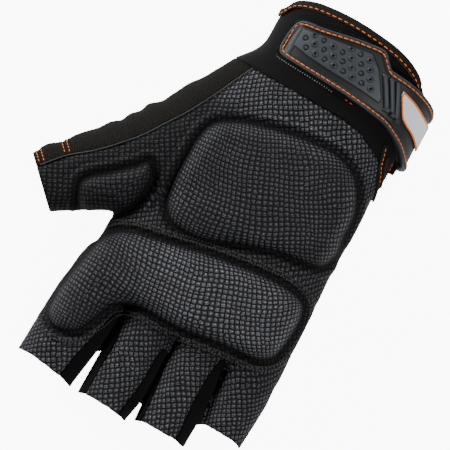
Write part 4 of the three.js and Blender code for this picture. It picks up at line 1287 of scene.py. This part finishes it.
def bead_along(name, line, out, width, height, material_, slot, closed=True):
    """A raised rounded bead along a line, with its outward directions."""
    if closed:
        line, out = np.vstack([line, line[:1]]), np.vstack([out, out[:1]])
    lengths = lengths_along(line)
    at = np.arange(0, lengths[-1], 0.5)
    line, out = at_length(at, lengths, line), at_length(at, lengths, out)
    out /= np.linalg.norm(out, axis=1)[:, None]
    around = np.roll(line, -1, axis=0) - np.roll(line, 1, axis=0)
    across = np.cross(out, around if closed else np.gradient(line, axis=0))
    across /= np.linalg.norm(across, axis=1)[:, None]
    turn = np.arange(8) * math.pi / 4
    rings = (line[:, None] + across[:, None] * (np.cos(turn) * width)[None, :, None]
             + out[:, None] * (np.sin(turn) * height)[None, :, None])
    swept(name, rings, material_, slot, closed=closed)


def outward(points):
    nudge = 0.05
    here = hand(points[:, 0], points[:, 1], points[:, 2])
    slope = np.stack([(hand(*(points + nudge * np.eye(3)[axis]).T) - here) / nudge
                      for axis in range(3)], axis=1)
    return slope / np.linalg.norm(slope, axis=1)[:, None]


def on_palm(line, lift):
    """A line seen from above laid on the palm side, with its outward directions."""
    points = np.column_stack([line, np.full(len(line), 42.0)])
    for _ in range(60):
        distance = hand(*points.T)
        points[:, 2] -= np.clip(distance, -1.5, 1.5) * 0.9
    for _ in range(3):
        points += outward(points) * (0 - hand(*points.T))[:, None] * 0.5
    out = outward(points)
    return points + out * lift, out


def band_line(angle, y, lift):
    points = body_point(y, angle, lift)
    centre = body_point(y, angle, lift - 1.0)
    out = points - centre
    return points, out / np.linalg.norm(out, axis=1)[:, None]


def band_border(rows, inset, lift, end=None):
    """Stations inset from a band's edges: angle, low and high."""
    rows = softened(between(rows, rows["angle"][0], end or rows["angle"][-1]), 1.0)
    turn = np.degrees(inset / (CUFF_RADIUS + lift))
    angle, low, high = rows["angle"], rows["low"] + inset, rows["high"] - inset
    keep = (angle > angle[0] + turn) & (angle < angle[-1] - turn) & (low < high)
    return angle[keep], low[keep], high[keep]


rim_run = band_line(rim_angles, rim_path(rim_angles, 2.9), 1.1)
stitched("cuff_rim_stitches", [rim_run], ORANGE, "binding", length=1.9, gap=0.8, radius=0.24)
angle, low, high = band_border(TAB, 1.4, TAB_FLOOR + 0.8, 200)
tab_run = band_line(np.concatenate([angle[::-1], angle[:1], angle]),
                    np.concatenate([high[::-1], [(low[0] + high[0]) / 2], low]), TAB_FLOOR + 0.62)
stitched("tab_stitches", [tab_run], ORANGE, "moulded_rubber", length=2.1, gap=0.35, radius=0.26)
angle, low, high = band_border(LABEL, 0.25, TAB_FLOOR)
loop_angle = np.concatenate([angle, angle[-1:], angle[::-1], angle[:1]])
loop_y = np.concatenate([low, (low[-1:] + high[-1:]) / 2, high[::-1], low[:1]])
bead_along("label_border", *band_line(loop_angle, loop_y, TAB_FLOOR + 0.86), 0.4, 0.3, ORANGE, "label")


def runs_where(line, out, kept):
    """The stretches of a line where kept holds, each with its outward directions."""
    stops = np.flatnonzero(np.diff(kept.astype(int))) + 1
    parts = zip(np.split(line, stops), np.split(out, stops), np.split(kept, stops))
    return [(part, outs) for part, outs, ok in parts if ok[0] and len(part) > 3]


def ridge_relief(line):
    return palm_relief(line[:, 0], line[:, 1], line[:, 2])


ahead = np.roll(KNUCKLE_LOOP, -1, axis=0) - np.roll(KNUCKLE_LOOP, 1, axis=0)
ahead /= np.linalg.norm(ahead, axis=1)[:, None]
aside = np.stack([ahead[:, 1], -ahead[:, 0]], axis=1)
channel_runs = []
for offset in (3.0, 4.4):
    loop = KNUCKLE_LOOP + aside * offset
    line, out = on_palm(np.vstack([loop, loop[:1]]), 0)
    line = line + out * (ridge_relief(line) + 0.1)[:, None]
    channel_runs += runs_where(line, out, (line[:, 2] > SEAM_HEIGHT + 3) & (out[:, 2] > 0.15))
stitched("channel_stitches", channel_runs, SPECKLED, "leather", length=0.95, gap=0.35, radius=0.42)

hem_runs = []
for row in (1.6, 3.6, 12.5, 14.5):
    across = np.arange(-23, 23, 0.4)
    line = THUMB_MOUTH - ALONG * row + ACROSS * across[:, None]
    line, out = on_palm(line, 0.35)
    on_knit = on_plan(leather_plan, line[:, 0], line[:, 1]) > 0.7
    hem_runs += runs_where(line, out, on_knit & (line[:, 2] > 4) & (out[:, 2] > 0.1))
stitched("thumb_hem_stitches", hem_runs, ORANGE, "knit", length=1.2, gap=0.6, radius=0.2, lift=0.1)


def slit_run(from_y, to_y, shift, lift):
    """A line beside the slit, shifted towards the palm side, with its outward directions."""
    ys = np.linspace(from_y, to_y, 30)
    return band_line(slit_angle_at(ys) - np.degrees(shift / CUFF_RADIUS), ys, lift)


stitched("slit_tape_stitches", [slit_run(-43.5, -58.0, 1.7, 1.1)], ORANGE, "binding",
         length=1.4, gap=0.6, radius=0.2)
back_row = band_line(np.linspace(173, 165, 20), np.linspace(-46, -54, 20), 0.5)
stitched("slit_back_stitches", [back_row], RED, "binding", length=1.2, gap=0.9, radius=0.2)
seam, seam_out = on_palm(curve_through(THUMB_SEAM, False, 0.8), 0.3)
on_edge = (seam[:, 2] > SEAM_HEIGHT - 1) & (finger_end(seam[:, 0], seam[:, 1]) < -0.3)
for i, run in enumerate(runs_where(seam, seam_out, on_edge)):
    bead_along(f"thumb_seam_edge_{i + 1}", *run, 0.24, 0.24, PIPING, "leather", False)
crotch = on_palm(even(np.array([[43.6, 29.0], [43.0, 26.4]]), 0.3), 0.3)
stitched("thumb_crotch_stitches", [crotch], ORANGE, "knit", length=1.0, gap=0.5, radius=0.2)
outer_edge = np.array([[-46.6, 77.0], [-47.4, 70.0], [-47.6, 62.0]])
stitched("little_finger_stitches", [on_palm(even(outer_edge, 0.5), 0.3)], RED, "knit",
         length=0.8, gap=3.2, radius=0.18)
under_tab = body_point(np.linspace(-65.7, -65.2, 8), np.linspace(96, 104, 8), 0.3)
stitched("strap_hook_stitches", [(under_tab, outward(under_tab))], RED, "neoprene", length=1.5, gap=0.9)
bristle_angle = np.linspace(40, 90, 60)
bristle_y = np.interp(bristle_angle, hook_rows["angle"], hook_rows["high"]) + 0.15
hook_end = np.linspace(0.04, 0.96, 30)
end_y = hook_rows["low"][0] + (hook_rows["high"][0] - hook_rows["low"][0]) * hook_end
stitched("hook_bristles", [band_line(bristle_angle, bristle_y, 1.6),
                           band_line(np.full(30, hook_rows["angle"][0] - 0.2), end_y, 1.6)],
         GREY, "hook_tape", length=0.35, gap=0.8, radius=0.45)


# Stage, light and camera


FLOOR_COLOR = (0.92, 0.92, 0.92)
FLOOR_GLOW, FLOOR_GLOW_SEEN = 0.3, 9.0
floor_mesh = bpy.data.meshes.new("floor")
floor_mesh.from_pydata([(-3, -3, 0), (3, -3, 0), (3, 3, 0), (-3, 3, 0)], [], [(0, 1, 2, 3)])
pale = speckled("pale_floor", FLOOR_COLOR, 0.9, FLOOR_COLOR, tuple(c * 0.995 for c in FLOOR_COLOR), 4.0)
glow = pale.node_tree.nodes["Principled BSDF"]
glow.inputs["Emission Color"].default_value = (1, 1, 1, 1)
floor_nodes = Nodes(pale)
seen = floor_nodes.add("ShaderNodeLightPath").outputs["Is Camera Ray"]
glowing = floor_nodes.math("MULTIPLY_ADD", seen, FLOOR_GLOW_SEEN, FLOOR_GLOW)
floor_nodes.link(glowing, glow.inputs["Emission Strength"])
floor_mesh.materials.append(pale)
floor = bpy.data.objects.new("floor", floor_mesh)
bpy.context.scene.collection.objects.link(floor)

AIM = Vector((0.00343 + SHIFT[0], 0.00206 + SHIFT[1], 0.02))
CAMERA_AWAY = 8.0
IMAGE_RIGHT = Vector((-math.cos(TURN), -math.sin(TURN), 0))
IMAGE_UP = Vector((math.sin(TURN), -math.cos(TURN), 0))
camera_data = bpy.data.cameras.new("camera")
camera_data.sensor_width = 36
camera_data.lens = CAMERA_AWAY * 200
camera_data.clip_end = 20
camera = bpy.data.objects.new("camera", camera_data)
camera.location = AIM + Vector((0, 0, CAMERA_AWAY))
axes = [IMAGE_RIGHT, IMAGE_UP, IMAGE_RIGHT.cross(IMAGE_UP)]
camera.matrix_world = Matrix([[*(axis[row] for axis in axes), camera.location[row]] for row in range(3)]
                             + [[0, 0, 0, 1]])
bpy.context.scene.collection.objects.link(camera)
bpy.context.scene.camera = camera


def soft_light(name, direction, distance, size, power):
    data = bpy.data.lights.new(name, "AREA")
    data.shape = "DISK"
    data.size = size
    data.energy = power
    lamp = bpy.data.objects.new(name, data)
    away = Vector(direction).normalized()
    lamp.location = AIM + away * distance
    lamp.rotation_euler = away.to_track_quat("Z", "Y").to_euler()
    bpy.context.scene.collection.objects.link(lamp)


top_left = (IMAGE_UP - IMAGE_RIGHT).normalized()
top_right = (IMAGE_UP + IMAGE_RIGHT).normalized()
soft_light("rim", top_left + Vector((0, 0, 0.45)), 1.2, 0.4, 17)
soft_light("front", -0.6 * IMAGE_UP + 0.45 * IMAGE_RIGHT + Vector((0, 0, 1.0)), 1.3, 0.6, 10)
soft_light("back", top_right + Vector((0, 0, 0.9)), 1.3, 0.6, 6)
world = bpy.data.worlds.new("studio")
world.use_nodes = True
world.node_tree.nodes["Background"].inputs["Color"].default_value = (1, 1, 1, 1)
world.node_tree.nodes["Background"].inputs["Strength"].default_value = 0.05
bpy.context.scene.world = world
